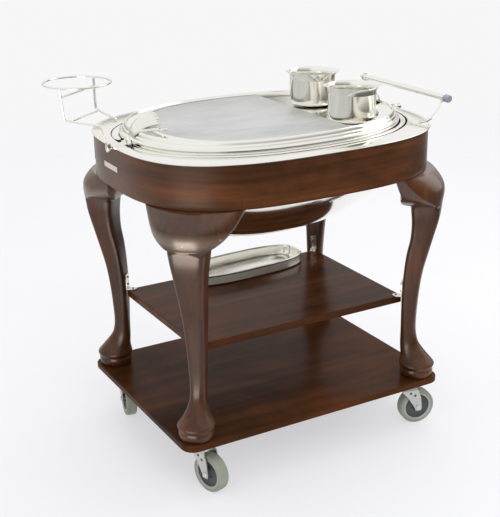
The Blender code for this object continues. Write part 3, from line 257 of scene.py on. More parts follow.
def plain(name, dark, light, rough, scale=120.0, bump=0.06, coat=0.0):
    """Rubber, plastic or enamel, or a near-black painted shade: two close tones and a fine grain."""
    m = Surface(name)
    grain = m.noise((scale, scale, scale), 4, 0.6)
    dust = m.noise((14, 14, 14), 3, 0.6)
    m.feed(m.ramp(dust, [(0.35, dark), (0.68, light)]), "Base Color")
    m.feed(m.span(grain, rough * 0.85, min(rough * 1.15, 1.0)), "Roughness")
    m.set({"Coat Weight": coat, "Coat Roughness": 0.2})
    m.bump(grain, bump, 0.0003)
    return m.mat


APRON_WOOD = wood("apron_mahogany", "bend", 1.16, gloss=0.24, coat=0.32, contrast=0.55)
# The leg wood paints the left knees paler in a band, partly wear and partly a painted highlight.
LEG_WOOD = wood("leg_mahogany", "z", 1.08, gloss=0.24, coat=0.22, contrast=0.6, wear_and_highlight_band=(0.648, 0.688))
BOARD_WOOD = wood("board_mahogany", "x", 0.95, gloss=0.04, coat=0.015, contrast=0.3, sheen=(0.26, 0.32))
SHELF_WOOD = wood("shelf_mahogany", "x", 1.0, gloss=0.05, coat=0.03, contrast=0.3, sheen=(0.18, 0.24))
SILVER = silver("silver_plate")
SOFT_SILVER = silver("silver_plate_soft", 0.16, (0.90, 0.89, 0.84))
POT_SILVER = silver("silver_plate_pots", 0.12, (0.92, 0.91, 0.865))
BRUSHED = brushed("brushed_board")
ZINC = steel("zinc")
BRIGHT = steel("bright_steel", (0.74, 0.73, 0.70), 0.18)
SCREW = steel("screw_steel", (0.30, 0.29, 0.27), 0.35)
BRASS = steel("burner_brass", (0.62, 0.42, 0.17), 0.25)
TYRE = plain("tyre_rubber", (0.225, 0.250, 0.195), (0.310, 0.340, 0.265), 0.62)
TYRE_SIDE = plain("tyre_side", (0.30, 0.325, 0.30), (0.40, 0.42, 0.39), 0.55)
HUB = plain("hub_plastic", (0.035, 0.037, 0.040), (0.075, 0.078, 0.082), 0.45)
LABEL = plain("label_enamel", (0.66, 0.56, 0.47), (0.80, 0.71, 0.62), 0.35, 60.0, 0.02, 0.3)
CAP = plain("cap_plastic", (0.30, 0.29, 0.36), (0.42, 0.41, 0.49), 0.35, 80.0, 0.03, 0.2)
# Painted shade: near black for the flat discs that stand in for the fork's holes.
HOLE_SHADE = plain("painted_hole_shade", (0.008, 0.008, 0.007), (0.015, 0.014, 0.012), 0.7)


# Meshes

def add_object(name, data):
    thing = bpy.data.objects.new(name, data)
    scene.collection.objects.link(thing)
    return thing


def place_mesh(name, verts, faces, material, body=ROOT, slot="silver_plate", replaces=(), angle=32):
    """A piece on its body. Edges sharper than angle (degrees) stay sharp."""
    mesh = bpy.data.meshes.new(name)
    move = Vector((OX, OY, 0))
    mesh.from_pydata([tuple(Vector(v) + move) for v in verts], [], faces)
    built = bmesh.new()
    built.from_mesh(mesh)
    bmesh.ops.recalc_face_normals(built, faces=built.faces)
    built.to_mesh(mesh)
    built.free()
    mesh.materials.append(material)
    mesh.shade_smooth()
    mesh.set_sharp_from_angle(angle=radians(angle))
    piece = add_object(name, mesh)
    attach(piece, body)
    if replaces:
        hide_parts(*replaces)


def loft(name, rings, material, closed=False, **more):
    """A skin over rings of equally many points, capped at both ends or closed into a loop."""
    count = len(rings[0])
    verts = [point for ring in rings for point in ring]
    faces = []
    pairs = [(row, row + 1) for row in range(len(rings) - 1)]
    if closed:
        pairs.append((len(rings) - 1, 0))
    for low, high in pairs:
        for index in range(count):
            after = (index + 1) % count
            faces.append((low * count + index, low * count + after,
                          high * count + after, high * count + index))
    if not closed:
        faces.append(tuple(range(count)))
        faces.append(tuple(range((len(rings) - 1) * count, len(rings) * count)))
    place_mesh(name, verts, faces, material, **more)


def lathe(name, profile, origin, axis, material, sides=48, swell=None, **more):
    """A profile of (radius, distance along the axis), turned round the axis.

    A profile that does not start on the axis is closed into a ring. swell(radius, turn) may widen it.
    """
    along = Vector(axis).normalized()
    across = Vector((0, 0, 1)) if abs(along.z) < 0.9 else Vector((1, 0, 0))
    across = (across - along * across.dot(along)).normalized()
    third = along.cross(across)
    start = Vector(origin)
    verts = []
    rows = []
    for radius, distance in profile:
        if radius == 0:
            rows.append([len(verts)])
            verts.append(start + along * distance)
            continue
        row = []
        for index in range(sides):
            turn = 2 * pi * index / sides
            reach = swell(radius, turn) if swell else radius
            row.append(len(verts))
            outward = across * cos(turn) + third * sin(turn)
            verts.append(start + along * distance + outward * reach)
        rows.append(row)
    pairs = list(zip(rows, rows[1:]))
    if profile[0][0] != 0:
        pairs.append((rows[-1], rows[0]))
    faces = []
    for low, high in pairs:
        for index in range(sides):
            after = (index + 1) % sides
            if len(low) == 1:
                faces.append((low[0], high[after], high[index]))
            elif len(high) == 1:
                faces.append((low[index], low[after], high[0]))
            else:
                faces.append((low[index], low[after], high[after], high[index]))
    place_mesh(name, verts, faces, material, **more)


def rod(name, path, radius, material, sides=16, closed=False, **more):
    """A round rod along a path. radius is one number, or one for each point."""
    points = [Vector(point) for point in path]
    radii = radius if isinstance(radius, list) else [radius] * len(points)
    rings = []
    side = None
    last = len(points) - 1
    for index, point in enumerate(points):
        if closed:
            heading = points[(index + 1) % len(points)] - points[index - 1]
        else:
            heading = points[min(index + 1, last)] - points[max(index - 1, 0)]
        heading.normalize()
        if side is None:
            side = heading.orthogonal().normalized()
        side = (side - heading * side.dot(heading)).normalized()
        if closed:
            side = Vector((0, 0, 1))
        lift = heading.cross(side)
        turns = [2 * pi * step / sides for step in range(sides)]
        rings.append([point + (side * cos(a) + lift * sin(a)) * radii[index] for a in turns])
    loft(name, rings, material, closed=closed, **more)


def bead_cluster(name, beads, material=SILVER, slot="silver_plate"):
    """Small balls, each given as (centre, radius), as one piece."""
    rows, cols = 6, 10
    verts, faces = [], []
    for centre, radius in beads:
        first = len(verts)
        c = Vector(centre)
        verts.append(c + Vector((0, 0, radius)))
        for row in range(1, rows):
            polar = pi * row / rows
            for col in range(cols):
                a = 2 * pi * col / cols
                outward = (sin(polar) * cos(a), sin(polar) * sin(a), cos(polar))
                verts.append(c + Vector(outward) * radius)
        verts.append(c - Vector((0, 0, radius)))
        for col in range(cols):
            after = (col + 1) % cols
            faces.append((first, first + 1 + after, first + 1 + col))
            for row in range(rows - 2):
                a = first + 1 + row * cols
                faces.append((a + col, a + after, a + cols + after, a + cols + col))
            last = first + 1 + (rows - 2) * cols
            faces.append((last + col, last + after, len(verts) - 1))
    place_mesh(name, verts, faces, material, slot=slot, angle=80)


def clamp(value):
    return min(max(value, 0), 1)


def tenths(points):
    """Points in metres from points written in tenths of a millimetre."""
    return [tuple(value / 10000 for value in point) for point in points]


def span(start, end, count):
    return [start + (end - start) * index / count for index in range(count + 1)]


def curve_through(points, steps):
    """A smooth curve through points, with steps parts between each two."""
    knots = [Vector(point) for point in points]
    result = []
    for index in range(len(knots) - 1):
        before = knots[max(index - 1, 0)]
        start = knots[index]
        end = knots[index + 1]
        after = knots[min(index + 2, len(knots) - 1)]
        for step in range(steps):
            t = step / steps
            cubic = (after - before + (start - end) * 3) * t ** 3
            square = (before * 2 - start * 5 + end * 4 - after) * t ** 2
            result.append((start * 2 + (end - before) * t + square + cubic) / 2)
    result.append(knots[-1])
    return result


def mirrored(half, middle=()):
    """A lathe's profile from its first half, which the second half mirrors."""
    return [*half, *middle, *((radius, -distance) for radius, distance in reversed(half))]


def oval_point(oval, power, turn, inset=0):
    """Point of an oval drawn in by inset, at a turn from +x."""
    c, s = cos(turn), sin(turn)
    x = copysign(abs(c) ** (2 / power), c) * (oval[0] - inset)
    y = copysign(abs(s) ** (2 / power), s) * (oval[1] - inset)
    return x, y


def even_turns(oval, power, start, end, count, inset=0):
    """Turns whose points lie evenly along an oval."""
    fine = span(start, end, count * 12)
    points = [oval_point(oval, power, turn, inset) for turn in fine]
    reach = [0.0]
    for first, second in zip(points, points[1:]):
        reach.append(reach[-1] + dist(first, second))
    turns = []
    place = 0
    for index in range(count + 1):
        target = reach[-1] * index / count
        while place < len(reach) - 2 and reach[place + 1] < target:
            place += 1
        share = (target - reach[place]) / max(reach[place + 1] - reach[place], 1e-12)
        turns.append(fine[place] + (fine[place + 1] - fine[place]) * clamp(share))
    return turns


def oval_ring(oval, power, z, turns, inset=0):
    return [(*oval_point(oval, power, turn, inset), z) for turn in turns]


def turn_at_x(half_x, power, x):
    return acos(copysign((abs(x) / half_x) ** (power / 2), x))


def turn_at_y(half_y, power, y):
    return asin(copysign((abs(y) / half_y) ** (power / 2), y))


# Legs

LEG_LOW, LEG_HIGH = 0.1503, 0.7277
LEG_REACH, WING_HALF = 0.060, 0.118
LEG_SIDES = 22  # points on the outer half of a ring, and as many on its inner half
# Each row: height, outer reach, inner reach and half width, then how far it is a wing and how
# square. The first is in thousandths of the leg's height, the reaches of LEG_REACH and the half
# width of WING_HALF.
LEG_TABLE = (
    (0, 660, -660, 336, 0, 2),
    (6, 705, -705, 360, 0, 2),
    (20, 735, -735, 374, 0, 2),
    (33, 740, -740, 376, 0, 2),
    (39, 715, -715, 364, 0, 2),
    (44, 715, -715, 364, 0, 2),
    (52, 775, -775, 394, 0, 2),
    (58, 795, -785, 403, 0, 2),
    (64, 775, -780, 394, 0, 2.05),
    (74, 700, -760, 360, 0, 2.1),
    (86, 600, -745, 316, 0, 2.15),
    (107, 430, -740, 262, 0, 2.2),
    (135, 210, -760, 210, 0, 2.3),
    (164, 30, -775, 178, 0, 2.4),
    (218, -90, -770, 173, 0, 2.6),
    (294, -100, -770, 182, 0, 3.4),
    (420, -20, -760, 205, 0, 4.2),
    (521, 110, -700, 232, 0, 5),
    (612, 320, -600, 265, 0, 5.4),
    (680, 480, -470, 297, 0, 5.4),
    (750, 650, -430, 333, 0, 5.4),
    (792, 730, -450, 362, 0, 5.4),
    (822, 760, -480, 381, 0, 5.4),
    (843, 782, -500, 395, 0, 5.4),
    (847, 785, -580, 399, 0.25, 4.6),
    (851, 790, -720, 410, 0.75, 3.4),
    (855, 790, -800, 432, 1, 3.4),
    (859, 803, -820, 466, 1, 3.4),
    (864, 814, -830, 500, 1, 3.4),
    (872, 828, -850, 566, 1, 3.4),
    (882, 840, -860, 635, 1, 3.4),
    (900, 858, -870, 735, 1, 3.4),
    (934, 822, -870, 850, 1, 3.4),
    (962, 675, -860, 925, 1, 3.4),
    (988, 460, -850, 985, 1, 3.4),
    (1000, 320, -830, 1000, 1, 3.4),
)
LEG_SHARES = [(*(value / 1000 for value in row[:4]), *row[4:]) for row in LEG_TABLE]


def corner_point(signs, outward, sideways, z):
    """Point beside a foot's middle, measured along the diagonal of its corner and across it."""
    root = sqrt(2)
    x = FOOT_X + (outward - sideways) / root
    y = FOOT_Y + (outward + sideways) / root
    return signs[0] * x, signs[1] * y, z


def apron_reach(sideways):
    """How far outward of a foot's middle the apron's face lies."""
    low, high = -APRON[0], APRON[0]
    for _ in range(34):
        middle = (low + high) / 2
        x, y, _z = corner_point((1, 1), middle, sideways, 0)
        if (max(x, 0) / APRON[0]) ** APRON_POWER + (max(y, 0) / APRON[1]) ** APRON_POWER < 1:
            low = middle
        else:
            high = middle
    return low


FACE_MIDDLE = apron_reach(0)
REACH_STEPS = 80
REACH_TABLE = [apron_reach(sideways) for sideways in span(-WING_HALF, WING_HALF, REACH_STEPS)]


def reach_at(sideways):
    share = clamp((sideways + WING_HALF) / (2 * WING_HALF)) * REACH_STEPS
    low = min(int(share), REACH_STEPS - 1)
    return REACH_TABLE[low] + (REACH_TABLE[low + 1] - REACH_TABLE[low]) * (share - low)


def leg_ring(signs, z, outer, inner, half_width, wing, power):
    """One level of a leg: a squarish column, blended by wing into a knee along the apron's face."""
    thin, thin_from, thin_over = 0.026, 0.070, 0.026
    middle, depth = (outer + inner) / 2, (outer - inner) / 2
    outer_side, inner_side = [], []
    for index in range(LEG_SIDES):
        turn = pi * (index + 0.5) / LEG_SIDES
        column_side = -copysign(abs(cos(turn)) ** (2 / power), cos(turn)) * half_width
        column_depth = sin(turn) ** (2 / power) * depth
        share = -cos(pi * index / (LEG_SIDES - 1))
        wing_side = share * half_width
        face = reach_at(wing_side)
        bulge = (outer - FACE_MIDDLE) * (1 - abs(wing_side / WING_HALF) ** 2.8)
        corner_round = 0.0016 * max(0, abs(share) - 0.97) / 0.03
        fade = clamp((abs(wing_side) - thin_from) / thin_over)
        back = (face - thin) * fade + inner * (1 - fade)
        side = column_side * (1 - wing) + wing_side * wing
        out = (middle + column_depth) * (1 - wing) + (face + bulge - corner_round) * wing
        back_out = (middle - column_depth) * (1 - wing) + (back + corner_round) * wing
        outer_side.append(corner_point(signs, out, side, z))
        inner_side.append(corner_point(signs, back_out, side, z))
    return outer_side + inner_side[::-1]


def leg_rows():
    """The rows of LEG_SHARES with smooth ones between them."""
    rows = []
    for index, (low, high) in enumerate(zip(LEG_SHARES, LEG_SHARES[1:])):
        before = LEG_SHARES[max(index - 1, 0)]
        after = LEG_SHARES[min(index + 2, len(LEG_SHARES) - 1)]
        gap = high[0] - low[0]
        steps = 3 if gap > 0.03 else (2 if gap > 0.012 else 1)
        for step in range(steps):
            t = step / steps
            t2, t3 = t * t, t * t * t
            row = [low[0] + gap * t]
            for column in range(1, 6):
                rise_low = (high[column] - before[column]) / max(high[0] - before[0], 1e-6) * gap
                rise_high = (after[column] - low[column]) / max(after[0] - low[0], 1e-6) * gap
                value = (2 * t3 - 3 * t2 + 1) * low[column] + (t3 - 2 * t2 + t) * rise_low
                value += (3 * t2 - 2 * t3) * high[column] + (t3 - t2) * rise_high
                row.append(value)
            row[4] = clamp(row[4])
            rows.append(row)
    rows.append(LEG_SHARES[-1])
    return rows


def build_legs():
    rows = leg_rows()
    for corner, signs in CORNERS.items():
        rings = []
        for height, outer, inner, width, wing, power in rows:
            z = LEG_LOW + (LEG_HIGH - LEG_LOW) * height
            rings.append(leg_ring(signs, z, outer * LEG_REACH, inner * LEG_REACH,
                                  width * WING_HALF, wing, power))
        loft("leg_shaped_" + corner, rings, LEG_WOOD, slot="mahogany", replaces=("leg_" + corner,),
             angle=40)


# Apron and top plate

def build_apron():
    """Four bent boards, which meet inside the legs' knees."""
    low, high, thickness, edge = 0.728, 0.8347, 0.018, 0.0012
    boards = (("back", pi / 2, 0.23385, 32), ("front", -pi / 2, 0.23385, 32),
              ("right", 0, 0.23415, 96), ("left", pi, 0.23415, 96))
    for name, middle, seam_x, count in boards:
        turns = []
        for inset in (0, thickness):
            reach = turn_at_x(APRON[0] - inset, APRON_POWER, seam_x)
            if name in ("back", "front"):
                reach = pi / 2 - reach
            turns.append(even_turns(APRON, APRON_POWER, middle - reach, middle + reach, count, inset))
        rings = []
        for a, b in zip(*turns):
            face = oval_point(APRON, APRON_POWER, a)
            eased = oval_point(APRON, APRON_POWER, a, edge)
            back = oval_point(APRON, APRON_POWER, b, thickness)
            rings.append([(*back, low), (*eased, low), (*face, low + edge),
                          (*face, high - edge * 0.5), (*eased, high), (*back, high)])
        loft("apron_shaped_" + name, rings, APRON_WOOD, slot="mahogany", replaces=("apron_" + name,))


def build_plate():
    """The two halves of the top plate, from its outer edge to the dome's slit."""
    half_seam = 0.0083
    outer_edge = [(0, PIVOT_Z), *tenths([(0, 8366), (7, 8376), (18, 8380), (55, 8381), (62, 8376),
                                         (72, 8376), (80, 8380)])]
    inner_edge = [*tenths([(-60, 8381), (-16, 8385), (-4, 8380), (0, 8370)]), (0, PIVOT_Z)]
    for name, middle in (("back", pi / 2), ("front", -pi / 2)):
        edges = []
        for oval, power in ((PLATE_OUTER, APRON_POWER), (PLATE_INNER, OVAL)):
            reach = pi / 2 - turn_at_y(oval[1], power, half_seam)
            turns = even_turns(oval, power, middle - reach, middle + reach, 96)
            edges.append([Vector(oval_point(oval, power, turn)) for turn in turns])
        rings = []
        for far, near in zip(*edges):
            inward = (near - far).normalized()
            ring = []
            for start, profile in ((far, outer_edge), (near, inner_edge)):
                for along, z in profile:
                    point = start + inward * along
                    ring.append((point.x, copysign(max(abs(point.y), half_seam), start.y), z))
            rings.append(ring)
        loft("top_plate_shaped_" + name, rings, SILVER, replaces=("top_plate_" + name,))


# Dome, pan, board and deck

def build_dome():
    """The dome, a half turn of its mouth's oval, with a rolled lip and an eye on each shaft."""
    wall, eye = 0.002, 0.012
    section = []
    for inset in (0, wall):
        first = turn_at_y(DOME[1] - inset, OVAL, eye)
        ends = (pi - first, first) if inset else (first, pi - first)
        section += [oval_point(DOME, OVAL, t, inset) for t in even_turns(DOME, OVAL, *ends, 64, inset)]
    rings = []
    for turn in span(pi, 2 * pi, 64):
        rings.append([(x, cos(turn) * r, PIVOT_Z + sin(turn) * r) for x, r in section])
    loft("dome_shaped", rings, SILVER, body="dome", replaces=("dome",))
    lip_start, lip_z, roll, half_thick, flare, sides = 0.118, 0.8374, 0.0062, 0.0021, 0.0026, 14
    for edge in (-1, 1):
        rings = []
        for t in even_turns(LIP, OVAL, lip_start, pi - lip_start, 96):
            x, y = oval_point(LIP, OVAL, t)
            # The lip flares toward the left end, as in the photograph, and thins out at both ends.
            wide = flare * clamp((0.23 - y) / 0.07) if x < 0 else 0
            near = Vector(oval_point(LIP, OVAL, t, roll)) - Vector((x, y))
            fade = min(1, (0.06 + min(t - lip_start, pi - lip_start - t) / 0.06) ** 0.5)
            ring = []
            for step in range(sides):
                a = 2 * pi * step / sides
                reach = near * cos(a) * fade
                reach += near.normalized() * wide * fade * cos(a)
                ring.append((x + reach.x, edge * (y + reach.y), lip_z + half_thick * sin(a) * fade))
            rings.append(ring)
        loft(f"dome_lip_{edge + 2}", rings, SILVER, body="dome", angle=60)
    profile = tenths([(84, 3686), (150, 3686), (160, 3696), (160, 3770), (150, 3780), (84, 3780)])
    for side in (-1, 1):
        lathe(f"dome_eye_{side + 2}", profile, (0, 0, PIVOT_Z), (side, 0, 0), SILVER, body="dome")


# Beads and steps of the pan's rim, as (inset, height)
RIM = tenths([(0, 8462), (0, 8474), (8, 8484), (20, 8490), (32, 8505), (42, 8520), (54, 8524),
              (62, 8518), (70, 8540), (80, 8568), (92, 8584), (104, 8588), (112, 8584), (122, 8620),
              (134, 8655), (148, 8674), (162, 8680), (176, 8674), (188, 8655), (196, 8632),
              (202, 8625)])
# The bowl inside the rim, as (half length, half width, height)
BOWL = tenths([(3030, 2475, 8625), (3030, 2475, 8500), (3024, 2469, 8484), (2960, 2415, 8484),
               (2955, 2410, 8474), (2955, 2410, 8120), (2930, 2385, 8030), (2860, 2315, 7945),
               (2750, 2205, 7905), (2500, 1955, 7900)])


def build_pan():
    """The water pan in sheet metal, and a skirt that hangs from its rim into the slit."""
    sheet = 0.0016
    skirt_top, skirt_low, low_over_shafts = 0.8466, 0.8336, 0.8436
    turns = even_turns(PAN, OVAL, 0, 2 * pi, 144)[:-1]
    levels = [(PAN[0] - inset, PAN[1] - inset, z) for inset, z in RIM] + BOWL
    under = []
    for x, y, z in levels:
        out = sheet if z < 0.8625 and x < 0.31 else 0
        under.append((x + out, y + out, z - sheet))
    rings = [oval_ring((x, y), OVAL, z, turns) for x, y, z in levels[::-1] + under]
    loft("pan_shaped", rings, SILVER, replaces=("water_pan",), angle=30)
    skirt = []
    for inset, level in ((0.0002, 1.0), (0, 0.9), (0, 0.12), (0.0004, 0), (0.0012, 0), (0.0014, 0.9)):
        ring = []
        for x, y in (oval_point(PAN, OVAL, turn, inset) for turn in turns):
            clear = clamp((abs(y) - 0.009) / 0.004)
            low = low_over_shafts + (skirt_low - low_over_shafts) * clear * clear * (3 - 2 * clear)
            ring.append((x, y, low + (skirt_top - low) * level))
        skirt.append(ring)
    loft("pan_skirt", skirt, SILVER, closed=True, angle=50)


def build_tops():
    """The carving board and the pots' deck: two parts of one oval."""
    low, ease = 0.8487, 0.0006
    left = turn_at_x(BOARD[0], OVAL, 0.120)
    right = turn_at_x(BOARD[0], OVAL, 0.122)
    slabs = (("carving_board", left, 2 * pi - left, 0.862, 0.0022, BRUSHED, "brushed_silver",
              "carving_board"),
             ("pot_deck", -right, right, 0.852, 0.0012, SILVER, "silver_plate", ROOT))
    for name, start, end, top, edge, material, slot, body in slabs:
        turns = even_turns(BOARD, OVAL, start, end, 96)
        rings = []
        for inset, z in ((ease, low), (0, low + ease), (0, top - edge),
                         (edge * 0.3, top - edge * 0.3), (edge, top)):
            rings.append(oval_ring(BOARD, OVAL, z, turns, inset))
        loft(name + "_shaped", rings, material, body=body, slot=slot, replaces=(name,))


# Pots and tray

COLLAR_START, COLLAR_WIDTH, LIP_REACH = 0.0612, 0.004, 0.0085
POT_FOOT = 0.8523


def pot_swell(radius, turn):
    """The collar is drawn out into two pouring lips."""
    if radius <= COLLAR_START:
        return radius
    share = (radius - COLLAR_START) / COLLAR_WIDTH
    return radius + LIP_REACH * share * share * abs(cos(turn + radians(28))) ** 11


def build_pots():
    outer = tenths([(0, 6), (440, 6), (495, 0), (530, 6), (562, 30), (588, 72), (602, 125),
                    (608, 195), (608, 694), (611, 698), (611, 706), (613, 740), (619, 785),
                    (630, 832), (644, 874), (652, 890), (651, 895), (644, 895)])
    inner = tenths([(632, 874), (618, 834), (606, 786), (600, 740), (597, 700), (594, 195),
                    (588, 130), (574, 82), (550, 44), (520, 24), (480, 16), (0, 16)])
    for name, x, y in (("sauce_pot_front", 0.188, -0.132), ("sauce_pot_back", 0.214, 0.0925)):
        lathe(name + "_shaped", outer + inner, (x, y, POT_FOOT), (0, 0, 1), POT_SILVER, sides=96,
              swell=pot_swell, body=name, replaces=(name,), angle=45)


def build_tray():
    """The tray stands on the shelf, turned a little."""
    middle_x, middle_y, turn = 0.038, 0.179, radians(3.0)
    turns = even_turns(TRAY, TRAY_POWER, 0, 2 * pi, 128)[:-1]
    levels = tenths([(110, 0), (50, 4), (14, 18), (6, 40), (7.5, 48), (42, 230), (44, 240),
                     (40, 252), (22, 262), (10, 276), (11, 290), (24, 300), (44, 297), (56, 284),
                     (62, 252), (86, 52), (100, 26), (140, 15)])
    rings = []
    for inset, height in levels:
        ring = []
        for x, y in (oval_point(TRAY, TRAY_POWER, t, inset) for t in turns):
            ring.append((middle_x + x * cos(turn) - y * sin(turn),
                         middle_y + x * sin(turn) + y * cos(turn), SHELF_TOP + height))
        rings.append(ring)
    loft("serving_tray_shaped", rings, SOFT_SILVER, body="serving_tray", replaces=("serving_tray",),
         angle=50)


# Shells, shafts and lug

def build_shells():
    """A ribbed half shell over each shaft, with beads round it and two scrolls at its wide end."""
    front, back, half_width, rim_rise = 0.3668, 0.3015, 0.0395, 0.0162
    for name, side in (("left", -1), ("right", 1)):
        rings = []
        for share in span(0.03, 1, 18):
            x = front + (back - front) * share
            swell = sin(pi / 2 * share) ** 0.38
            base = 0.8506 + 0.0184 * min((PAN[0] - x) / rim_rise, 1)
            crown = max(0.846 + 0.058 * swell, base + 0.002)
            width = half_width * swell
            ring = []
            for turn in span(0, pi, 64):
                lobe = 1 + 0.045 * cos(turn * 14) * share
                ring.append((side * x, cos(turn) * width * lobe,
                             base + sin(turn) * (crown - base) * lobe))
            rings.append(ring)
        loft("pivot_shell_shaped_" + name, rings, SOFT_SILVER, replaces=("pivot_shell_" + name,),
             angle=50)
        beads = []
        for index, turn in enumerate(span(0.06, pi - 0.06, 20)):
            spot = (side * 0.3042, cos(turn) * 0.0408, 0.8692 + sin(turn) * 0.0352)
            beads.append((spot, 0.0030 if index % 2 else 0.0022))
        for hand in (-1, 1):
            for share in span(0, 1, 8):
                x = 0.3050 + 0.0500 * share
                y = half_width * sin(pi / 2 * (1 - share * 0.93)) ** 0.5 + 0.0035
                z = 0.8705 if x < 0.3500 else 0.8705 - (x - 0.3500) * 1.1
                beads.append(((side * x, hand * y, z), 0.0028 - 0.0006 * share))
        bead_cluster("pivot_shell_beads_" + name, beads)
        for hand in (-1, 1):
            path = []
            widths = []
            for share in span(0, 1, 25):
                angle = share * 4.4
                spread = 0.0115 * (1 - share * 0.78)
                path.append((side * (0.298 + cos(angle) * spread),
                             hand * (0.0480 + sin(angle) * spread),
                             0.8712 + 0.0030 * sin(share * pi)))
                widths.append(0.0034 * (1 - 0.55 * share))
            rod(f"pivot_scroll_{name}_{hand + 2}", path, widths, SILVER, sides=10, angle=60)


def build_shafts():
    """The two shafts: a plain end on the left, a spool knob on the right."""
    base = tenths([(0, 2979), (105, 2979), (110, 2984), (110, 3024), (80, 3076), (80, 3800),
                   (112, 3800), (120, 3808), (120, 3852), (112, 3860), (80, 3860)])
    plain_end = tenths([(80, 4186), (70, 4196), (0, 4196)])
    knob = tenths([(80, 4198), (93, 4204), (95, 4216), (88, 4236), (66, 4252), (58, 4280),
                   (58, 4320), (70, 4350), (88, 4368), (95, 4385), (93, 4402), (80, 4410), (0, 4410)])
    for name, side, end in (("left", -1, plain_end), ("right", 1, knob)):
        lathe("pivot_shaft_shaped_" + name, base + end, (0, 0, PIVOT_Z), (side, 0, 0), SILVER,
              replaces=("pivot_shaft_" + name,), sides=40)


def build_lug():
    """The rounded lug that hangs on the left shaft's end."""
    rings = []
    for x, inset in tenths([(-4199, 6), (-4206, 0), (-4262, 0), (-4280, 8), (-4290, 24)]):
        ring = []
        for turn in span(0, 2 * pi, 40)[:-1]:
            width = 0.0072 + 0.0018 * (sin(turn) * 0.5 + 0.5) - inset
            ring.append((x, copysign(abs(cos(turn)) ** 0.7, cos(turn)) * width,
                         0.8365 + sin(turn) * (0.0135 - inset)))
        rings.append(ring)
    loft("pivot_lug_shaped", rings, SILVER, replaces=("pivot_lug",))


# Push handle and plate ring

def build_strap(name, side):
    """A flat strap from the plate to the push bar, and its two screws."""
    knots = tenths([(3500, 2050, 8402.5), (3740, 2010, 8402.5), (4000, 1955, 8470),
                    (4320, 1800, 8620), (4500, 1700, 8772)])
    section = ((-1, -0.8), (-0.7, -1), (0.7, -1), (1, -0.8), (1, 0.8), (0.7, 1), (-0.7, 1), (-1, 0.8))
    path = curve_through([(x, side * y, z) for x, y, z in knots], 8)
    rings = []
    last = len(path) - 1
    for index, here in enumerate(path):
        heading = path[min(index + 1, last)] - path[max(index - 1, 0)]
        heading.y = 0
        heading.normalize()
        normal = Vector((-heading.z, 0, heading.x)) * 0.00172
        width = 0.0058 - 0.0012 * sin(index / last * pi)
        rings.append([here + normal * a + Vector((0, width * b, 0)) for a, b in section])
    loft("handle_strap_shaped_" + name, rings, SILVER, replaces=("handle_strap_" + name,))
    bead_cluster("handle_foot_screws_" + name, [((0.3560, side * 0.2042, 0.8420), 0.0022),
                                                ((0.3680, side * 0.2022, 0.8420), 0.0022)])


def build_handle():
    bar = mirrored(tenths([(0, -1780), (72, -1780), (80, -1772), (80, -1710), (92, -1700),
                           (92, -1670), (80, -1660)]))
    lathe("push_bar_shaped", bar, (BAR_X, 0, BAR_Z), (0, 1, 0), SILVER, replaces=("push_bar",),
          sides=40)
    build_strap("front", -1)
    build_strap("back", 1)
    cap = tenths([(0, 0), (85, 0), (96, 12), (102, 35), (102, 60), (98, 64), (98, 74), (102, 78),
                  (102, 150), (96, 180), (80, 196), (0, 200)])
    lathe("handle_cap_shaped", cap, (BAR_X, -0.1783, BAR_Z), (0, -1, 0), CAP, slot="end_cap",
          replaces=("handle_cap",), sides=40)
    finial = tenths([(0, 0), (105, 0), (115, 10), (115, 22), (95, 36), (55, 52), (45, 66), (58, 80),
                     (70, 102), (68, 124), (55, 145), (30, 157), (0, 160)])
    lathe("handle_finial_shaped", finial, (BAR_X, 0.1783, BAR_Z), (0, 1, 0), SILVER,
          replaces=("handle_finial",), sides=40)


def build_plate_ring():
    """The ring for plates and the two bent rods that carry it."""
    wire, radius = 0.0033, 0.087
    middle_x, middle_y, z = -0.381, 0.296, 0.9385
    ring = [(middle_x + cos(a) * radius, middle_y + sin(a) * radius, z)
            for a in span(0, 2 * pi, 96)[:-1]]
    rod("plate_ring_shaped", ring, wire, SILVER, closed=True, replaces=("plate_ring",), angle=60)
    heights = (0.8422, 0.8430, 0.8520, 0.8640, 0.9346)
    near = tenths([(-3640, 1950), (-3820, 2095), (-4300, 2480), (-4390, 2520), (-4490, 2425)])
    far = tenths([(-2950, 2550), (-3010, 2760), (-3120, 3350), (-3140, 3460), (-3140, 3490)])
    for name, plan in (("near", near), ("far", far)):
        points = curve_through([(*spot, z) for spot, z in zip(plan, heights)], 10)
        rod("ring_rod_shaped_" + name, points, wire, SILVER, replaces=("ring_rod_" + name,), angle=60)


# Shelf brackets and casters

def build_brackets():
    """Angles between the legs and the shelf: an upright, a round flange and three screws."""
    front, back, half_width, thick = -0.0486, -0.0464, 0.009, 0.0022
    half = ((-half_width, 0), (-half_width, 0.041), (-0.0078, 0.0438), (-0.005, 0.045))
    outline = [*half, *((-side, height) for side, height in reversed(half))]
    for corner, signs in CORNERS.items():
        rings = [[corner_point(signs, out, side, SHELF_TOP + height) for side, height in outline]
                 for out in (front, back)]
        loft("shelf_bracket_upright_" + corner, rings, BRIGHT, slot="brushed_silver",
             replaces=("shelf_bracket_" + corner,))
        rings = []
        for z in (SHELF_TOP, SHELF_TOP + thick):
            ring = [corner_point(signs, front, -half_width, z)]
            for turn in span(-pi / 2, pi / 2, 14):
                ring.append(corner_point(signs, -0.0634 - cos(turn) * half_width,
                                         sin(turn) * half_width, z))
            ring.append(corner_point(signs, front, half_width, z))
            rings.append(ring)
        loft("shelf_bracket_flange_" + corner, rings, BRIGHT, slot="brushed_silver")
        heads = [(corner_point(signs, out, 0, SHELF_TOP + height), radius) for out, height, radius in
                 ((-0.0488, 0.014, 0.0032), (-0.0488, 0.034, 0.0032), (-0.0630, thick, 0.0030))]
        bead_cluster("shelf_bracket_screws_" + corner, heads, SCREW, slot="brushed_silver")


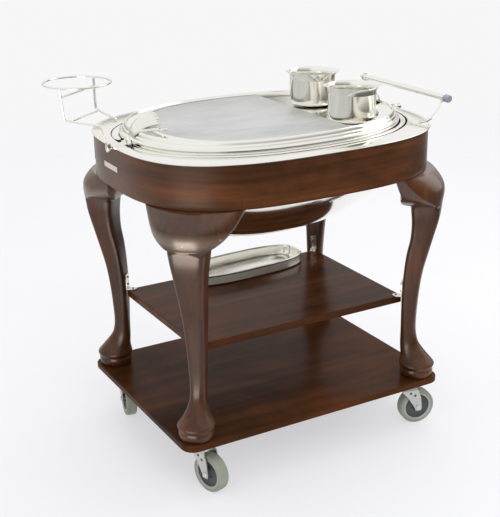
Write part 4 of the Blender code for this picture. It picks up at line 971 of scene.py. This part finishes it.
SWIVEL_X, SWIVEL_Y = 0.3155, 0.2370
WHEEL_RADIUS, TRAIL, FORK_FACE, RACE_RADIUS = 0.050, 0.030, 0.0216, 0.0283
# Way each caster trails, in degrees from +x
TURNS = {"front_left": -75.0, "front_right": -13.0, "back_left": -103.0, "back_right": 20.0}
TREAD = mirrored(tenths([(383, -130), (400, -142), (430, -150), (455, -149), (478, -138),
                         (493, -116), (499, -80)]), [(WHEEL_RADIUS, 0)])
HUB_PROFILE = mirrored(tenths([(53, -168), (100, -168), (115, -160), (120, -120), (140, -90),
                               (200, -82), (285, -82), (320, -95), (345, -128), (365, -134),
                               (380, -128)]))
TYRE_RING = tenths([(345, 129), (350, 137), (378, 140), (404, 146), (404, 138), (350, 127)])
NUT = tenths([(0, 216), (78, 216), (78, 232), (60, 246), (0, 246)])
# Profile of the flat disc that stands in for a hole in the fork, coloured near black as painted shade.
HOLE = tenths([(0, -4), (34, -4), (34, 3), (26, 4), (0, -2)])
RACE = tenths([(-30, -18), (0, -12), (6, 0), (0, 12), (-30, 18)])


def build_casters():
    for corner, signs in CORNERS.items():
        turn = radians(TURNS[corner])
        trail = Vector((cos(turn), sin(turn), 0))
        across = Vector((-sin(turn), cos(turn), 0))
        swivel = Vector((signs[0] * SWIVEL_X, signs[1] * SWIVEL_Y, 0))
        axle = swivel + trail * TRAIL + Vector((0, 0, WHEEL_RADIUS))
        wheel, fork = "wheel_" + corner, "caster_" + corner
        lathe("tyre_shaped_" + corner, TREAD, axle, across, TYRE, sides=72, body=wheel, slot="tyre",
              replaces=("caster_tyre_" + corner,))
        lathe("hub_shaped_" + corner, HUB_PROFILE, axle, across, HUB, sides=60, body=wheel, slot="hub",
              replaces=("caster_hub_" + corner,))
        for hand in (-1, 1):
            lathe(f"tyre_side_ring_{corner}_{hand + 2}", TYRE_RING, axle, across * hand, TYRE_SIDE,
                  sides=60, body=wheel, slot="tyre")
            lathe(f"axle_nut_{corner}_{hand + 2}", NUT, axle, across * hand, BRIGHT, sides=6,
                  body=fork, slot="zinc", angle=20)
            # The fork's holes are not cut. A flat near-black disc on each face is painted shade that
            # stands in for the dark inside of a hole.
            for index, (ahead, z) in enumerate(((0.006, 0.096), (0.019, 0.088))):
                spot = swivel + trail * ahead + across * hand * FORK_FACE + Vector((0, 0, z))
                lathe(f"fork_hole_{corner}_{hand + 2}_{index}", HOLE, spot, across * hand, HOLE_SHADE,
                      sides=20, body=fork, slot="hub", angle=20)
        for name, z, body in (("lower", 0.1181, fork), ("upper", 0.1246, ROOT)):
            race = [(RACE_RADIUS + out, z + rise) for out, rise in RACE]
            lathe(f"race_band_{name}_{corner}", race, swivel, (0, 0, 1), BRIGHT, body=body, slot="zinc")
        heads = [((swivel.x + dx, swivel.y + dy, 0.1288), 0.0042)
                 for dx in (-0.036, 0.036) for dy in (-0.027, 0.027)]
        bead_cluster("plate_bolts_" + corner, heads, BRIGHT, slot="zinc")


build_legs()
build_apron()
build_plate()
build_dome()
build_pan()
build_tops()
build_pots()
build_tray()
build_shells()
build_shafts()
build_lug()
build_handle()
build_plate_ring()
build_brackets()
build_casters()

# Materials of the solids that stay visible, by the start of their names
BY_START = {
    "base_board": BOARD_WOOD, "middle_shelf": SHELF_WOOD, "caster_plate": ZINC, "caster_fork": ZINC,
    "ring_": SILVER, "label_plate": LABEL, "burner_rack": ZINC, "burner_left": BRASS,
    "burner_right": BRASS,
}
for node_name, node in NODES.items():
    for start, material in BY_START.items():
        if node_name.startswith(start):
            node.data.materials.clear()
            node.data.materials.append(material)

# Floor: a pale studio sheet that fades into the background. Rays that do not come from the camera
# see it end 1 to 1.5 m away in two directions, so the dark room shows in what the trolley reflects.
sheet = Surface("studio_floor")
place = sheet.coord.outputs["Object"]
distance = sheet.new("VectorMath")
distance.operation = "LENGTH"
sheet.link(place, distance.inputs[0])
fade = sheet.span(distance.outputs["Value"], 0.0, 1.0, 1.4, 4.5)
past_edge = [sheet.span(sheet.toward(place, direction), 0.0, 1.0, 1.0, 1.5)
             for direction in ((0.087, -0.996, 0.0), (0.985, -0.170, 0.0))]
from_camera = sheet.new("LightPath").outputs["Is Camera Ray"]
sheet_end = sheet.combine("MULTIPLY", sheet.combine("MAXIMUM", *past_edge),
                          sheet.span(from_camera, 1.0, 0.0))
blend = sheet.new("MixShader")
sheet.link(sheet.combine("MAXIMUM", fade, sheet_end), blend.inputs[0])
sheet.link(sheet.shader.outputs[0], blend.inputs[1])
sheet.link(sheet.new("BsdfTransparent").outputs[0], blend.inputs[2])
sheet.link(blend.outputs[0], sheet.tree.nodes["Material Output"].inputs["Surface"])
sheet.feed(sheet.ramp(sheet.noise((1.2, 1.2, 1.2), 2, 0.5),
                      [(0.3, (0.35, 0.35, 0.36)), (0.7, (0.365, 0.365, 0.375))]), "Base Color")
sheet.set({"Roughness": 0.6, "Specular IOR Level": 0.2, "Emission Color": (0.97, 0.97, 1.0, 1),
           "Emission Strength": 0.545})
floor_mesh = bpy.data.meshes.new("floor")
floor_mesh.from_pydata([(-6, -6, 0), (6, -6, 0), (6, 6, 0), (-6, 6, 0)], [], [(0, 1, 2, 3)])
floor_mesh.materials.append(sheet.mat)
floor = add_object("floor", floor_mesh)

# World: an even background for the camera. Everything else sees a room with a bright ceiling,
# dark toward the front right. The stops go from straight down (0) to straight up (1).
DARK_SIDE = ((0.0, (0.16, 0.155, 0.145)), (0.47, (0.14, 0.135, 0.12)), (0.53, (0.16, 0.155, 0.135)),
             (0.62, (0.44, 0.44, 0.41)), (0.76, grey(0.90)), (1.0, grey(0.90)))
BRIGHT_SIDE = ((0.0, grey(0.60)), (0.48, (0.52, 0.51, 0.46)), (0.53, (0.64, 0.63, 0.58)),
               (0.59, (0.90, 0.90, 0.89)), (0.70, grey(0.94)), (1.0, grey(0.90)))
world = bpy.data.worlds.new("studio")
world.use_nodes = True
scene.world = world
room = Tree(world.node_tree)
heading = room.coord.outputs["Generated"]
height = room.span(room.split(heading)["Z"], 0.0, 1.0, -1, 1)
turned = room.span(room.toward(heading, (-0.707, 0.707, 0.0)), 0.0, 1.0, -0.50, -0.17)
walls = room.mix(turned, room.ramp(height, DARK_SIDE), room.ramp(height, BRIGHT_SIDE))
seen = room.mix(room.new("LightPath").outputs["Is Camera Ray"], walls, (0.925, 0.925, 0.935))
background = room.tree.nodes["Background"]
room.link(seen, background.inputs["Color"])
background.inputs["Strength"].default_value = 1.0


def area_light(name, spot, aim, size, power, colour=(1, 1, 1)):
    data = bpy.data.lights.new(name, "AREA")
    data.shape = "RECTANGLE"
    data.size, data.size_y = size
    data.energy = power
    data.color = colour
    lamp = add_object(name, data)
    lamp.location = spot
    lamp.rotation_euler = (Vector(aim) - Vector(spot)).to_track_quat("-Z", "Y").to_euler()
    lamp.visible_camera = False
    return lamp


# The key and top lamps would burn out the silver, so nothing reflects them. The low lamp is only a
# reflection: the warm streak on the front left knee.
key = area_light("key", (-0.4, -3.15, 2.9), (0, 0, 0.6), (2.4, 2.0), 38)
key.visible_glossy = False
top = area_light("top", (0.3, 0.3, 3.4), (0, 0, 0.6), (3.2, 2.8), 27)
top.visible_glossy = False
area_light("side", (3.0, -0.6, 1.7), (0, 0, 0.5), (2.4, 2.8), 21)
low = area_light("low", (-1.12, -0.78, 0.16), (-0.36, -0.27, 0.72), (0.80, 0.34), 8.5,
                 (1.0, 0.88, 0.76))
low.visible_diffuse = False

# Camera, fitted to the photograph. FOCAL and the spot that its axis meets, AXIS_X and AXIS_Y, are in
# pixels of the photograph, and SENSOR is in millimetres.
PHOTO_WIDTH, PHOTO_HEIGHT = 500, 517
FOCAL = 1072.56
AXIS_X, AXIS_Y = 252.0, 258.3
SENSOR = 36
camera_data = bpy.data.cameras.new("camera")
camera = add_object("camera", camera_data)
roll = radians(-0.69)
forward = Vector((0.4645, 0.8163, -0.3435)).normalized()
right = forward.cross(Vector((0, 0, 1))).normalized()
up = right.cross(forward)
turned_right = cos(roll) * right + sin(roll) * up
turned_up = -sin(roll) * right + cos(roll) * up
matrix = Matrix((turned_right, turned_up, -forward)).transposed().to_4x4()
matrix.translation = Vector((-1.3619 + OX, -2.3352 + OY, 1.4609))
camera.matrix_world = matrix
camera_data.sensor_fit = "HORIZONTAL"
camera_data.sensor_width = SENSOR
camera_data.lens = FOCAL / PHOTO_WIDTH * SENSOR
camera_data.shift_x = (PHOTO_WIDTH / 2 - AXIS_X) / PHOTO_WIDTH
camera_data.shift_y = (AXIS_Y - PHOTO_HEIGHT / 2) / PHOTO_WIDTH
scene.camera = camera
scene.view_settings.view_transform = "Standard"
